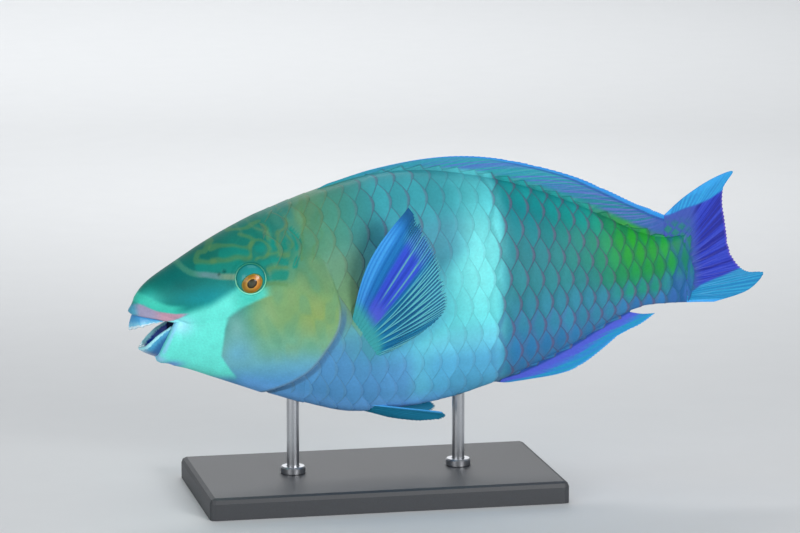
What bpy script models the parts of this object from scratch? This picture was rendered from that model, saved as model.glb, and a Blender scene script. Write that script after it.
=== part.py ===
"""Parrotfish: a still, life-size model of a grown male, held by two rods on a flat base.

All sizes are in metres. The fish is shaped in its own frame: x runs from the lips to the tail,
z is up and its left side faces -Y. An empty then turns it a little nose down over its stand.
"""
import math

import bmesh
import bpy
from mathutils import Matrix, Vector

# Pose over the stand
NOSE_DOWN = math.radians(4.5)
FISH_LIFT = 0.092                # height of the fish's own z = 0 at the lips
FISH_SHIFT = -0.17844            # sets the middle of the whole model over x = 0
GAP = 0.0003                     # clearance between touching pieces

# Sections of the body, lips to tail: top x and z, widest point x and z, bottom x and z, half width
SECTIONS = (
    (-0.0004, 0.0136, 0.0221, 0.0086, 0.0108, -0.0117, 0.0108),    # rim of the lips
    (-0.0005, 0.0164, 0.0252, 0.0078, 0.0140, -0.0156, 0.0123),    # outside of the lips
    (0.0027, 0.0226, 0.0302, 0.0069, 0.0205, -0.0180, 0.0142),
    (0.0104, 0.0303, 0.0374, 0.0068, 0.0285, -0.0208, 0.0167),
    (0.0262, 0.0393, 0.0475, 0.0078, 0.0400, -0.0261, 0.0200),     # nostrils
    (0.0466, 0.0498, 0.0605, 0.0096, 0.0547, -0.0326, 0.0232),     # eye
    (0.0690, 0.0592, 0.0755, 0.0112, 0.0735, -0.0404, 0.0260),
    (0.0910, 0.0664, 0.0930, 0.0124, 0.0925, -0.0482, 0.0283),     # nape and cheek
    (0.1150, 0.0722, 0.1150, 0.0130, 0.1150, -0.0555, 0.0298),     # edge of the gill cover
    (0.1410, 0.0762, 0.1410, 0.0132, 0.1410, -0.0570, 0.0301),     # deepest part
    (0.1680, 0.0750, 0.1680, 0.0125, 0.1680, -0.0553, 0.0288),
    (0.1950, 0.0694, 0.1950, 0.0113, 0.1950, -0.0503, 0.0258),
    (0.2215, 0.0610, 0.2215, 0.0100, 0.2215, -0.0421, 0.0217),
    (0.2470, 0.0497, 0.2470, 0.0086, 0.2470, -0.0325, 0.0169),
    (0.2690, 0.0380, 0.2690, 0.0070, 0.2690, -0.0222, 0.0126),
    (0.2870, 0.0275, 0.2870, 0.0050, 0.2870, -0.0168, 0.0090),
    (0.3020, 0.0224, 0.3020, 0.0033, 0.3020, -0.0167, 0.0060),
    (0.3160, 0.0222, 0.3160, 0.0022, 0.3160, -0.0178, 0.0032),     # end of the tail stalk
)
LAST = len(SECTIONS) - 1
FULLNESS = 0.9                   # below 1 the sides are rounder than an ellipse
HEAD_STEPS, BODY_STEPS = 3, 3    # rings from one section to the next
HEAD_SECTIONS = 8
SIDE_STEPS = 16                  # spaces from the belly to the back along one side
SEARCH_START, SEARCH_REACH, SEARCH_TURN = 8.0, 8.0, 80.0    # where a search of the body starts, how wide
SEARCH_SHRINK, SEARCH_END = 0.6, 0.05
SHARP_EDGE = math.radians(40)    # edges steeper than this are shaded sharp

# Lips, gill cover and the cuts between head, trunk and tail
LIP_HEIGHT, LIP_GROOVE = 0.0008, 0.0005
LIP_SPAN, GROOVE_SPAN = 1.1, 0.9    # in sections back from the rim
GILL_LIFT = 0.0011               # how far the gill cover's edge stands off the shoulder
GILL_REACH = 0.022
GILL_EDGE = (
    (0.0880, 0.0900), (0.0925, 0.0640), (0.0985, 0.0480), (0.1055, 0.0320), (0.1098, 0.0170),
    (0.1112, 0.0060), (0.1090, -0.0040), (0.1015, -0.0152), (0.0925, -0.0255), (0.0820, -0.0320),
    (0.0700, -0.0370), (0.0600, -0.0450), (0.0540, -0.0700),
)
TAIL_CUT = 0.2680
CUT_REACH = 0.2                  # far enough to clear the fish on every side
GILL_STEPS = 30

# Mouth: how far each inner ring of the mouth has closed in, and moved back, from the lips' rim
MOUTH_RINGS = ((0.86, 0.0016), (0.80, 0.0060), (0.62, 0.0110), (0.30, 0.0145))
MOUTH_CENTRE = Vector((0.0150, 0.0, 0.0010))

# Beak plates: cutting edge from the front middle to the corner of the mouth, as x, half width, z
UPPER_EDGE = (
    (-0.0022, 0.0, 0.0046), (0.0034, 0.0074, 0.0066), (0.0095, 0.0094, 0.0080), (0.0165, 0.0095, 0.0086),
)
LOWER_EDGE = (
    (0.0019, 0.0, -0.0066), (0.0056, 0.0076, -0.0042), (0.0125, 0.0096, 0.0015), (0.0205, 0.0094, 0.0058),
)
GUM_DEPTH, GUM_CORNER_DEPTH = 0.0025, 0.0022     # how deep under the lips the plates are rooted
GUM_CORNER = 25                  # angle round the mouth at which they end
BEAK_THICK = 0.0022
BEAK_EDGE_THICK = 0.0008
BEAK_BULGE = 0.0006
BEAK_STEPS = 8
SEAT_GAP = 0.0004                # a corner moved this far leaves about one gap along its sides
BEAK_CENTRE = Vector((0.0200, 0.0, 0.0020))    # the plates' inner sides face this point

# Eye, orbit and nostrils
EYE_X, EYE_Z = 0.0640, 0.0294
EYE_RADIUS, EYE_DEPTH = 0.0079, 0.0054
EYE_SINK = 0.0026
ORBIT_WIRE = 0.0011
ORBIT_CLEAR, ORBIT_DROP = 0.0006, 0.0004         # the rim's middle line, out from the eye and into the skin
NOSTRILS = ((0.0475, 0.0330, 0.0009), (0.0505, 0.0345, 0.0011))    # x, z and radius
NOSTRIL_TAPER, NOSTRIL_LENGTH = 0.6, 0.003

# Fins: sheet thickness at the root and the edge, height of the rays over it
SHEET_ROOT, SHEET_EDGE = 0.0012, 0.0006
RAY_RIDGE = 0.0004               # each side
RAY_FOOT = 0.25                  # where the membrane starts, as a share of the space to the next ray
RAY_TAPER = 0.7                  # share of a ridge lost by its tip
RAY_BOW = 0.06                   # how far midline rays bow, as a share of their length
FOOT_SHARE = 0.25                # share of a fin's length over which its foot swells
PLAIN_FOOT = 1.5                 # foot of the dorsal and anal fins, in root thicknesses
NOTCH = 0.025                    # how far the membrane's edge falls short of the ray tips
DORSAL_RAYS, ANAL_RAYS, PECTORAL_RAYS, PELVIC_RAYS = 19, 12, 14, 6
DORSAL_START, DORSAL_END = 0.1060, 0.3032
DORSAL_EDGE = (
    (0.1200, 0.0740), (0.1410, 0.0783), (0.1700, 0.0808), (0.1960, 0.0794), (0.2220, 0.0735),
    (0.2520, 0.0625), (0.2720, 0.0520), (0.2880, 0.0425), (0.2965, 0.0385), (0.3042, 0.0342),
)
ANAL_START, ANAL_END = 0.1980, 0.2780
ANAL_EDGE = (
    (0.2120, -0.0505), (0.2330, -0.0497), (0.2440, -0.0482), (0.2540, -0.0440), (0.2645, -0.0375),
    (0.2740, -0.0312), (0.2870, -0.0262), (0.2955, -0.0212),
)
CAUDAL_FRONT, CAUDAL_BACK = 0.3046, 0.3163      # the root runs back along the stalk's top, then down
CAUDAL_TOP, CAUDAL_BOTTOM = 0.0226, -0.0170
CAUDAL_TOP_RAYS = 3
CAUDAL_EDGE = (
    (0.3058, 0.0353), (0.3165, 0.0430), (0.3325, 0.0512), (0.3455, 0.0545), (0.3400, 0.0465),
    (0.3385, 0.0375), (0.3392, 0.0285), (0.3398, 0.0200), (0.3405, 0.0125), (0.3425, 0.0055),
    (0.3470, -0.0010), (0.3520, -0.0040), (0.3602, -0.0056), (0.3500, -0.0145), (0.3300, -0.0180),
)
CAUDAL_BASE_THICK = 0.0050

# Paired fins: where each starts on the body, its edge in side view, and how far it stands off
PECTORAL_TOP, PECTORAL_BOTTOM = (0.1174, 0.0006), (0.1285, -0.0226)
PECTORAL_EDGE = (
    (0.1480, 0.0640), (0.1525, 0.0570), (0.1560, 0.0500), (0.1592, 0.0430), (0.1620, 0.0360),
    (0.1640, 0.0290), (0.1655, 0.0215), (0.1668, 0.0140), (0.1672, 0.0080), (0.1655, 0.0030),
    (0.1612, -0.0020), (0.1560, -0.0065), (0.1495, -0.0110), (0.1405, -0.0165),
)
PECTORAL_SPREAD = 0.34
PECTORAL_BOW, BOWED_RAYS = 0.078, 5             # the first rays bow forwards, as a share of their length
PECTORAL_SINK = 0.0025           # how deep the root starts inside the flank before it is trimmed
PECTORAL_BASE_THICK = 0.0034
PELVIC_ROOT = ((0.1090, -0.0480, 0.0118), (0.1175, -0.0525, 0.0050))
PELVIC_EDGE = (
    (0.1655, -0.0592, 0.0150), (0.1680, -0.0622, 0.0130), (0.1640, -0.0642, 0.0110),
    (0.1560, -0.0642, 0.0090), (0.1470, -0.0630, 0.0068), (0.1370, -0.0606, 0.0050),
)
PELVIC_BASE_THICK = 0.0030

# Stand
BASE_LENGTH, BASE_WIDTH, BASE_HEIGHT = 0.200, 0.108, 0.012
BASE_X = -0.045
BASE_BEVEL = 0.003
ROD_RADIUS = 0.0035
ROD_XS = (-0.090, 0.004)


def new_collection(name):
    """Return a new collection in the scene."""
    collection = bpy.data.collections.new(name)
    bpy.context.scene.collection.children.link(collection)
    return collection


def new_material(name, colour, roughness, metallic=0.0):
    """Return a plain material of one colour."""
    material = bpy.data.materials.new(name)
    material.use_nodes = True
    shader = material.node_tree.nodes["Principled BSDF"]
    shader.inputs["Base Color"].default_value = (*colour, 1.0)
    shader.inputs["Roughness"].default_value = roughness
    shader.inputs["Metallic"].default_value = metallic
    return material


def through(rows, place):
    """Return the row at a place along a smooth curve through the given rows."""
    start = min(max(int(place), 0), len(rows) - 2)
    t = place - start
    before = rows[max(start - 1, 0)]
    after = rows[min(start + 2, len(rows) - 1)]
    result = []
    for a, b, c, d in zip(before, rows[start], rows[start + 1], after):
        slope_b = (c - a) / 2
        slope_c = (d - b) / 2
        bend = 3 * (c - b) - 2 * slope_b - slope_c
        twist = 2 * (b - c) + slope_b + slope_c
        result.append(b + t * (slope_b + t * (bend + t * twist)))
    return result


def along(rows, share):
    """Return the row at a share, 0 to 1, of the way through the rows."""
    return through(rows, share * (len(rows) - 1))


def ring_point(place, angle):
    """Return the body's surface at a place along the sections, angle 90 at the back, -90 below."""
    top_x, top_z, side_x, side_z, low_x, low_z, half_width = through(SECTIONS, place)
    rise = math.sin(math.radians(angle))
    out = math.cos(math.radians(angle))
    end_x, end_z = (top_x, top_z) if rise > 0 else (low_x, low_z)
    x = side_x + (end_x - side_x) * abs(rise)
    z = side_z + (end_z - side_z) * abs(rise)
    y = -math.copysign(abs(out) ** FULLNESS, out) * half_width
    return Vector((x, y, z))


def ring_normal(place, angle):
    """Return the outward direction of the body's surface."""
    step, turn = 0.05, 2.0
    ahead = ring_point(min(place + step, LAST), angle) - ring_point(max(place - step, 0), angle)
    around = ring_point(place, angle + turn) - ring_point(place, angle - turn)
    return ahead.cross(around).normalized()


def skin_point(place, angle, lift=0.0):
    """Return the body's surface moved outwards by lift."""
    return ring_point(place, angle) + ring_normal(place, angle) * lift


def skin_spot(x, z):
    """Return the place and angle of the left side's surface at x and z."""
    place, angle = SEARCH_START, 0.0
    reach, turn = SEARCH_REACH, SEARCH_TURN
    while turn > SEARCH_END:
        spots = [(place + reach * i / 4, angle + turn * j / 4) for i in range(-4, 5) for j in range(-4, 5)]
        spots = [(p, a) for p, a in spots if 0 <= p <= LAST and -90 < a < 90]
        place, angle = min(spots, key=lambda spot: miss(spot, x, z))
        reach *= SEARCH_SHRINK
        turn *= SEARCH_SHRINK
    return place, angle


def miss(spot, x, z):
    """Return how far the surface at a spot is from x and z in side view."""
    point = ring_point(*spot)
    return math.hypot(point.x - x, point.z - z)


def new_object(name, mesh, collection, material=None):
    """Add an object for a mesh."""
    piece = bpy.data.objects.new(name, mesh)
    collection.objects.link(piece)
    if material:
        mesh.materials.append(material)
    return piece


def mesh_from(bm, name):
    """Return a mesh with its faces pointing out."""
    bmesh.ops.recalc_face_normals(bm, faces=bm.faces)
    mesh = bpy.data.meshes.new(name)
    bm.to_mesh(mesh)
    bm.free()
    return mesh


def join_rings(bm, rings):
    """Join closed rings of vertices into a tube with capped ends."""
    count = len(rings[0])
    for near, far in zip(rings, rings[1:]):
        for i in range(count):
            j = (i + 1) % count
            bm.faces.new((near[i], near[j], far[j], far[i]))
    bm.faces.new(rings[0][::-1])
    bm.faces.new(rings[-1])


def body_places():
    """Return the places of the rings, closer together over the head."""
    places = [i / HEAD_STEPS for i in range(HEAD_SECTIONS * HEAD_STEPS)]
    count = (LAST - HEAD_SECTIONS) * BODY_STEPS
    return places + [HEAD_SECTIONS + i / BODY_STEPS for i in range(count + 1)]


def no_lift(point, place):
    """The bare trunk has nothing raised on it."""
    return 0.0


def head_lift(point, place):
    """Return how far lips and gill cover stand off the body's surface."""
    lip = 0.0
    if place < LIP_SPAN:
        lip = LIP_HEIGHT * math.sin(math.pi * place / LIP_SPAN)
    elif place < LIP_SPAN + GROOVE_SPAN:
        lip = -LIP_GROOVE * math.sin(math.pi * (place - LIP_SPAN) / GROOVE_SPAN)
    near = min((Vector(corner) - Vector((point.x, point.z))).length for corner in gill_points())
    gill = GILL_LIFT * max(0.0, 1 - near / GILL_REACH) ** 2
    return lip + gill


def gill_points():
    """Return points along the free edge of the gill cover, down to the throat."""
    return [along(GILL_EDGE[2:-2], i / GILL_STEPS) for i in range(GILL_STEPS + 1)]


def body_mesh(name, lift_at, swell=0.0):
    """Return the whole body from lips to tail stalk, with the mouth hollowed out."""
    bm = bmesh.new()
    angles = [180 * i / SIDE_STEPS - 90 for i in range(2 * SIDE_STEPS)]
    rings = []
    rim = [ring_point(0, angle) for angle in angles]
    for shrink, back in reversed(MOUTH_RINGS):
        if not swell:
            points = [MOUTH_CENTRE + (point - MOUTH_CENTRE) * shrink for point in rim]
            rings.append([bm.verts.new(point + Vector((back, 0, 0))) for point in points])
    for place in body_places():
        points = [skin_point(place, angle) for angle in angles]
        lifts = [lift_at(point, place) + swell for point in points]
        rings.append([bm.verts.new(skin_point(place, angle, lift)) for angle, lift in zip(angles, lifts)])
    if swell:
        for vert in rings[-1]:
            vert.co.x += swell
    join_rings(bm, rings)
    bmesh.ops.triangulate(bm, faces=bm.faces)
    return mesh_from(bm, name)


def wall_between(name, line, shift, towards):
    """Return a deep block on one side of a line in side view, moved by shift along x."""
    bm = bmesh.new()
    far = CUT_REACH * towards
    corners = [(x + shift, z) for x, z in line]
    corners += [(far + line[-1][0], line[-1][1]), (far + line[0][0], line[0][1])]
    base = [bm.verts.new((x, -CUT_REACH, z)) for x, z in corners]
    face = bm.faces.new(base)
    side = bmesh.ops.extrude_face_region(bm, geom=[face])
    verts = [item for item in side["geom"] if isinstance(item, bmesh.types.BMVert)]
    bmesh.ops.translate(bm, verts=verts, vec=(0, 2 * CUT_REACH, 0))
    return mesh_from(bm, name)


def cut(piece, tool, operation):
    """Add a Boolean modifier."""
    modifier = piece.modifiers.new(operation.lower(), "BOOLEAN")
    modifier.operation = operation
    modifier.object = tool
    return modifier


def apply_all(piece):
    """Replace an object's mesh by its evaluated mesh and drop its modifiers."""
    bpy.context.view_layer.update()
    evaluated = piece.evaluated_get(bpy.context.evaluated_depsgraph_get())
    mesh = bpy.data.meshes.new_from_object(evaluated)
    piece.modifiers.clear()
    piece.data = mesh


def keep_largest(piece):
    """Keep only the largest connected surface of a piece."""
    bm = bmesh.new()
    bm.from_mesh(piece.data)
    bmesh.ops.remove_doubles(bm, verts=bm.verts, dist=0.00001)
    left = set(bm.verts)
    groups = []
    while left:
        group = {left.pop()}
        edge = list(group)
        while edge:
            near = {other.other_vert(vert) for vert in edge for other in vert.link_edges}
            edge = list(near - group)
            group |= near
        left -= group
        groups.append(group)
    keep = max(groups, key=len)
    bmesh.ops.delete(bm, geom=[vert for vert in bm.verts if vert not in keep], context="VERTS")
    bm.to_mesh(piece.data)
    bm.free()


def hide_cutter(piece):
    """Show a cutter as a wire, left out of renders."""
    piece.hide_render = True
    piece.display_type = "WIRE"


def new_cutter(name, mesh, cutters):
    """Add a cutter object."""
    piece = new_object(name, mesh, cutters)
    hide_cutter(piece)
    return piece


def finish_piece(piece):
    """Apply a piece's cuts, tidy it and shade it smooth."""
    apply_all(piece)
    keep_largest(piece)
    piece.data.shade_smooth()
    piece.data.set_sharp_from_angle(angle=SHARP_EDGE)


def make_body(parts, cutters):
    """Make head, trunk and tail stalk as one body parted by thin cuts."""
    skin = new_material("fish skin", (0.10, 0.46, 0.48), 0.45)
    rear_skin = new_material("rear skin", (0.09, 0.40, 0.22), 0.45)
    tail_line = ((TAIL_CUT, 0.1), (TAIL_CUT, -0.1))
    gill_line = [along(GILL_EDGE, i / GILL_STEPS) for i in range(GILL_STEPS + 1)]
    ahead = new_cutter("ahead_of_gills", wall_between("ahead_of_gills", gill_line, 0.0, -1), cutters)
    behind = new_cutter("behind_gills", wall_between("behind_gills", gill_line, GAP, 1), cutters)
    front = new_cutter("ahead_of_tail", wall_between("ahead_of_tail", tail_line, 0.0, -1), cutters)
    rear = new_cutter("behind_tail_cut", wall_between("behind_tail_cut", tail_line, GAP, 1), cutters)
    head = new_object("head", body_mesh("head", head_lift), parts, skin)
    cut(head, ahead, "INTERSECT")
    torso = new_object("torso", body_mesh("torso", no_lift), parts, skin)
    cut(torso, behind, "INTERSECT")
    cut(torso, front, "INTERSECT")
    tail = new_object("tail", body_mesh("tail", no_lift), parts, rear_skin)
    cut(tail, rear, "INTERSECT")
    return head, torso, tail


def eye_matrix(side):
    """Return where an eye's middle lies and how it faces, side -1 for the left one."""
    place, angle = skin_spot(EYE_X, EYE_Z)
    out = ring_normal(place, angle)
    middle = ring_point(place, angle) - out * EYE_SINK
    turn = out.to_track_quat("Z", "Y").to_matrix().to_4x4()
    matrix = Matrix.Translation(middle) @ turn
    mirror = Matrix.Scale(side * -1, 4, (0, 1, 0))
    return mirror @ matrix


def eye_mesh(name, side, swell):
    """Return one eyeball, a flattened ball set square to the cheek."""
    bm = bmesh.new()
    bmesh.ops.create_uvsphere(bm, u_segments=16, v_segments=10, radius=1.0)
    size = Matrix.Diagonal((EYE_RADIUS + swell, EYE_RADIUS + swell, EYE_DEPTH + swell, 1.0))
    bmesh.ops.transform(bm, verts=bm.verts, matrix=eye_matrix(side) @ size)
    bmesh.ops.triangulate(bm, faces=bm.faces)
    return mesh_from(bm, name)


def orbit_mesh(name, side):
    """Return the low rim of skin round an eye."""
    bm = bmesh.new()
    around, across = 24, 6
    ring_radius = EYE_RADIUS + ORBIT_CLEAR
    sections = []
    for i in range(around):
        turn = 2 * math.pi * i / around
        section = []
        for j in range(across):
            tilt = 2 * math.pi * j / across
            radius = ring_radius + ORBIT_WIRE * math.cos(tilt)
            height = EYE_SINK - ORBIT_DROP + ORBIT_WIRE * math.sin(tilt)
            section.append(bm.verts.new((radius * math.cos(turn), radius * math.sin(turn), height)))
        sections.append(section)
    for near, far in zip(sections, sections[1:] + sections[:1]):
        for j in range(across):
            k = (j + 1) % across
            bm.faces.new((near[j], near[k], far[k], far[j]))
    bmesh.ops.transform(bm, verts=bm.verts, matrix=eye_matrix(side))
    bmesh.ops.triangulate(bm, faces=bm.faces)
    return mesh_from(bm, name)


def make_eyes(head, parts, cutters):
    """Make both eyes, their sockets and the rims round them."""
    iris = new_material("eye", (0.35, 0.16, 0.03), 0.1)
    for name, side in (("eye_left", -1), ("eye_right", 1)):
        rim = new_cutter(name + "_rim", orbit_mesh(name + "_rim", side), cutters)
        cut(head, rim, "UNION")
    for name, side in (("eye_left", -1), ("eye_right", 1)):
        new_object(name, eye_mesh(name, side, 0.0), parts, iris).data.shade_smooth()
        socket = new_cutter(name + "_socket", eye_mesh(name + "_socket", side, GAP), cutters)
        cut(head, socket, "DIFFERENCE")


def make_nostrils(head, cutters):
    """Sink two small nostrils ahead of each eye."""
    for number, (x, z, radius) in enumerate(NOSTRILS):
        place, angle = skin_spot(x, z)
        out = ring_normal(place, angle)
        for side in (-1, 1):
            bm = bmesh.new()
            narrow = radius * NOSTRIL_TAPER
            bmesh.ops.create_cone(
                bm, cap_ends=True, segments=8, radius1=narrow, radius2=radius, depth=NOSTRIL_LENGTH)
            turn = out.to_track_quat("Z", "Y").to_matrix().to_4x4()
            matrix = Matrix.Translation(ring_point(place, angle)) @ turn
            bmesh.ops.transform(bm, verts=bm.verts, matrix=Matrix.Scale(-side, 4, (0, 1, 0)) @ matrix)
            name = f"nostril_{number}_{'left' if side < 0 else 'right'}"
            cut(head, new_cutter(name, mesh_from(bm, name), cutters), "DIFFERENCE")


def edge_point(line, share):
    """Return a point of a cutting edge, share -1 at the left corner, 1 at the right."""
    x, half_width, z = along(line, abs(share))
    return Vector((x, math.copysign(half_width, share), z))


def gum_point(jaw, share):
    """Return where a plate is rooted under the lip, jaw 1 for the upper one, -1 for the lower."""
    angle = jaw * (90 - (90 - GUM_CORNER) * abs(share))
    lip = ring_point(1.0, angle)
    lip.y = math.copysign(lip.y, share) if share else 0.0
    depth = GUM_DEPTH + (GUM_CORNER_DEPTH - GUM_DEPTH) * abs(share)
    return lip + (MOUTH_CENTRE - lip).normalized() * depth


def beak_mesh(name, jaw, edge, swell):
    """Return one beak plate, a horseshoe from corner to corner round the front of the jaw."""
    bm = bmesh.new()
    sections = []
    for i in range(-BEAK_STEPS, BEAK_STEPS + 1):
        share = i / BEAK_STEPS
        root = gum_point(jaw, share)
        rim = edge_point(edge, share)
        down = (rim - root).normalized()
        inward = BEAK_CENTRE - (root + rim) / 2
        inward = (inward - down * inward.dot(down)).normalized()
        middle = (root + rim) / 2 - inward * BEAK_BULGE
        outside = [root, middle, rim]
        inside = [rim + inward * BEAK_EDGE_THICK, middle + inward * BEAK_THICK, root + inward * BEAK_THICK]
        sections.append([bm.verts.new(point) for point in outside + inside])
    join_rings(bm, sections)
    bmesh.ops.recalc_face_normals(bm, faces=bm.faces)
    bm.normal_update()
    for vert in bm.verts:
        vert.co += vert.normal * swell
    bmesh.ops.triangulate(bm, faces=bm.faces)
    return mesh_from(bm, name)


def make_beak(head, parts, cutters):
    """Make both beak plates and seat them in the jaws."""
    enamel = new_material("beak", (0.10, 0.42, 0.68), 0.3)
    for name, jaw, edge in (("beak_upper", 1, UPPER_EDGE), ("beak_lower", -1, LOWER_EDGE)):
        new_object(name, beak_mesh(name, jaw, edge, 0.0), parts, enamel).data.shade_smooth()
        seat = new_cutter(name + "_seat", beak_mesh(name + "_seat", jaw, edge, SEAT_GAP), cutters)
        cut(head, seat, "DIFFERENCE")


def fin_object(name, ray_point, rays, rows, thickness, collection, material):
    """Add a fin: a grid with a ridge at each ray, given thickness from its middle sheet."""
    columns = [i + foot for i in range(rays - 1) for foot in (0.0, RAY_FOOT, 1 - RAY_FOOT)] + [rays - 1.0]
    bm = bmesh.new()
    bmesh.ops.create_grid(bm, x_segments=len(columns) - 1, y_segments=rows, size=1.0)
    bm.verts.ensure_lookup_table()
    weights = []
    thickest = max(thickness(0.0, True), thickness(1.0, True))
    for index, vert in enumerate(bm.verts):
        column = columns[index % len(columns)]
        on_ray = column == int(column)
        share = (index // len(columns)) / rows * (1.0 if on_ray else 1 - NOTCH)
        vert.co = ray_point(column, share)
        weights.append(thickness(share, on_ray) / thickest)
    bmesh.ops.triangulate(bm, faces=bm.faces, quad_method="ALTERNATE")
    mesh = bpy.data.meshes.new(name)
    bm.to_mesh(mesh)
    bm.free()
    fin = new_object(name, mesh, collection, material)
    group = fin.vertex_groups.new(name="thickness")
    for index, weight in enumerate(weights):
        group.add([index], weight, "REPLACE")
    solid = fin.modifiers.new("thickness", "SOLIDIFY")
    solid.thickness = thickest
    solid.offset = 0.0
    solid.vertex_group = "thickness"
    solid.thickness_vertex_group = 0.0
    return fin


def sheet_thickness(base_thick):
    """Return a function of the way out along a ray, and whether it is on a ray."""
    def thickness(share, on_ray):
        plain = SHEET_ROOT + (SHEET_EDGE - SHEET_ROOT) * share
        plain += (base_thick - SHEET_ROOT) * max(0.0, 1 - share / FOOT_SHARE) ** 2
        ridge = RAY_RIDGE * (1 - RAY_TAPER * share) if on_ray else 0.0
        return plain + 2 * ridge
    return thickness


def blend(a, b, share):
    """Return a point part of the way from a to b."""
    return a + (b - a) * share


def back_root(x, sign):
    """Return the body's midline above (sign 1) or below (sign -1) at x, one gap clear of it."""
    low, high = 0.0, float(LAST)
    while high - low > 0.0001:
        middle = (low + high) / 2
        if ring_point(middle, 90 * sign).x < x:
            low = middle
        else:
            high = middle
    return skin_point(low, 90 * sign, GAP)


def midline_ray(start, end, edge, rays, sign):
    """Return a function for the points of a dorsal or anal fin's rays."""
    def point(column, share):
        along_fin = column / (rays - 1)
        root = back_root(start + (end - start) * along_fin, sign)
        x, z = along(edge, along_fin)
        tip = Vector((x, 0.0, z))
        straight = blend(root, tip, share)
        bow = Vector((0, 0, sign)) * RAY_BOW * (tip - root).length * math.sin(math.pi * share)
        return straight + bow
    return point


def make_midline_fins(parts):
    """Make the long fin along the back, the anal fin and the tail fin."""
    back = new_material("back fin", (0.05, 0.22, 0.60), 0.4)
    under = new_material("anal fin", (0.06, 0.20, 0.55), 0.4)
    tail = new_material("tail fin", (0.03, 0.08, 0.50), 0.4)
    plain = sheet_thickness(SHEET_ROOT * PLAIN_FOOT)
    dorsal = midline_ray(DORSAL_START, DORSAL_END, DORSAL_EDGE, DORSAL_RAYS, 1)
    fin_object("dorsal_fin", dorsal, DORSAL_RAYS, 4, plain, parts, back)
    anal = midline_ray(ANAL_START, ANAL_END, ANAL_EDGE, ANAL_RAYS, -1)
    fin_object("anal_fin", anal, ANAL_RAYS, 4, plain, parts, under)

    base = sheet_thickness(CAUDAL_BASE_THICK)
    fin_object("caudal_fin", caudal_ray, len(CAUDAL_EDGE), 6, base, parts, tail)


def caudal_ray(column, share):
    """Return a point of the tail fin, whose rays fan out from the end of the tail stalk."""
    on_top = min(column / CAUDAL_TOP_RAYS, 1.0)
    down = max(0.0, (column - CAUDAL_TOP_RAYS) / (len(CAUDAL_EDGE) - 1 - CAUDAL_TOP_RAYS))
    x = CAUDAL_FRONT + (CAUDAL_BACK - CAUDAL_FRONT) * on_top
    z = CAUDAL_TOP + (CAUDAL_BOTTOM - CAUDAL_TOP) * down
    tip_x, tip_z = through(CAUDAL_EDGE, column)
    return blend(Vector((x, 0, z)), Vector((tip_x, 0, tip_z)), share)


def pectoral_ray(column, share):
    """Return a point of the left pectoral fin, which leaves the flank and flattens out."""
    along_fin = column / (PECTORAL_RAYS - 1)
    x = PECTORAL_TOP[0] + (PECTORAL_BOTTOM[0] - PECTORAL_TOP[0]) * along_fin
    z = PECTORAL_TOP[1] + (PECTORAL_BOTTOM[1] - PECTORAL_TOP[1]) * along_fin
    spot = skin_spot(x, z)
    root = skin_point(*spot, -PECTORAL_SINK)
    tip_x, tip_z = through(PECTORAL_EDGE, column)
    length = math.hypot(tip_x - x, tip_z - z)
    out = PECTORAL_SPREAD * length * (1 - (1 - share) ** 2) + PECTORAL_SINK * share
    bow = PECTORAL_BOW * max(0.0, 1 - column / BOWED_RAYS) ** 2 * math.sin(math.pi * share)
    forwards, upwards = (tip_z - z) * bow, (tip_x - x) * bow
    return Vector((blend(root.x, tip_x, share) - forwards, root.y - out, blend(root.z, tip_z, share) + upwards))


def pelvic_ray(column, share):
    """Return a point of the left pelvic fin, folded back under the belly."""
    along_fin = column / (PELVIC_RAYS - 1)
    first, last = PELVIC_ROOT
    root = Vector([blend(a, b, along_fin) for a, b in zip(first, last)])
    tip = Vector(through(PELVIC_EDGE, column))
    point = blend(root, tip, share)
    return Vector((point.x, -point.z, point.y))


def make_paired_fins(parts, swollen):
    """Make the pectoral and pelvic fins and trim their roots to the body."""
    breast = new_material("pectoral fin", (0.05, 0.14, 0.55), 0.4)
    belly = new_material("pelvic fin", (0.03, 0.18, 0.40), 0.4)
    kinds = (
        ("pectoral_fin", pectoral_ray, PECTORAL_RAYS, 6, PECTORAL_BASE_THICK, breast),
        ("pelvic_fin", pelvic_ray, PELVIC_RAYS, 5, PELVIC_BASE_THICK, belly),
    )
    for name, ray, rays, rows, thick, material in kinds:
        left = fin_object(name + "_left", ray, rays, rows, sheet_thickness(thick), parts, material)
        cut(left, swollen, "DIFFERENCE")
        finish_piece(left)
        right = new_object(name + "_right", left.data.copy(), parts)
        right.data.transform(Matrix.Scale(-1, 4, (0, 1, 0)))
        right.data.flip_normals()


def pose_matrix():
    """Return the fish's place over its stand."""
    return Matrix.Translation((FISH_SHIFT, 0, FISH_LIFT)) @ Matrix.Rotation(-NOSE_DOWN, 4, "Y")


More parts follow.
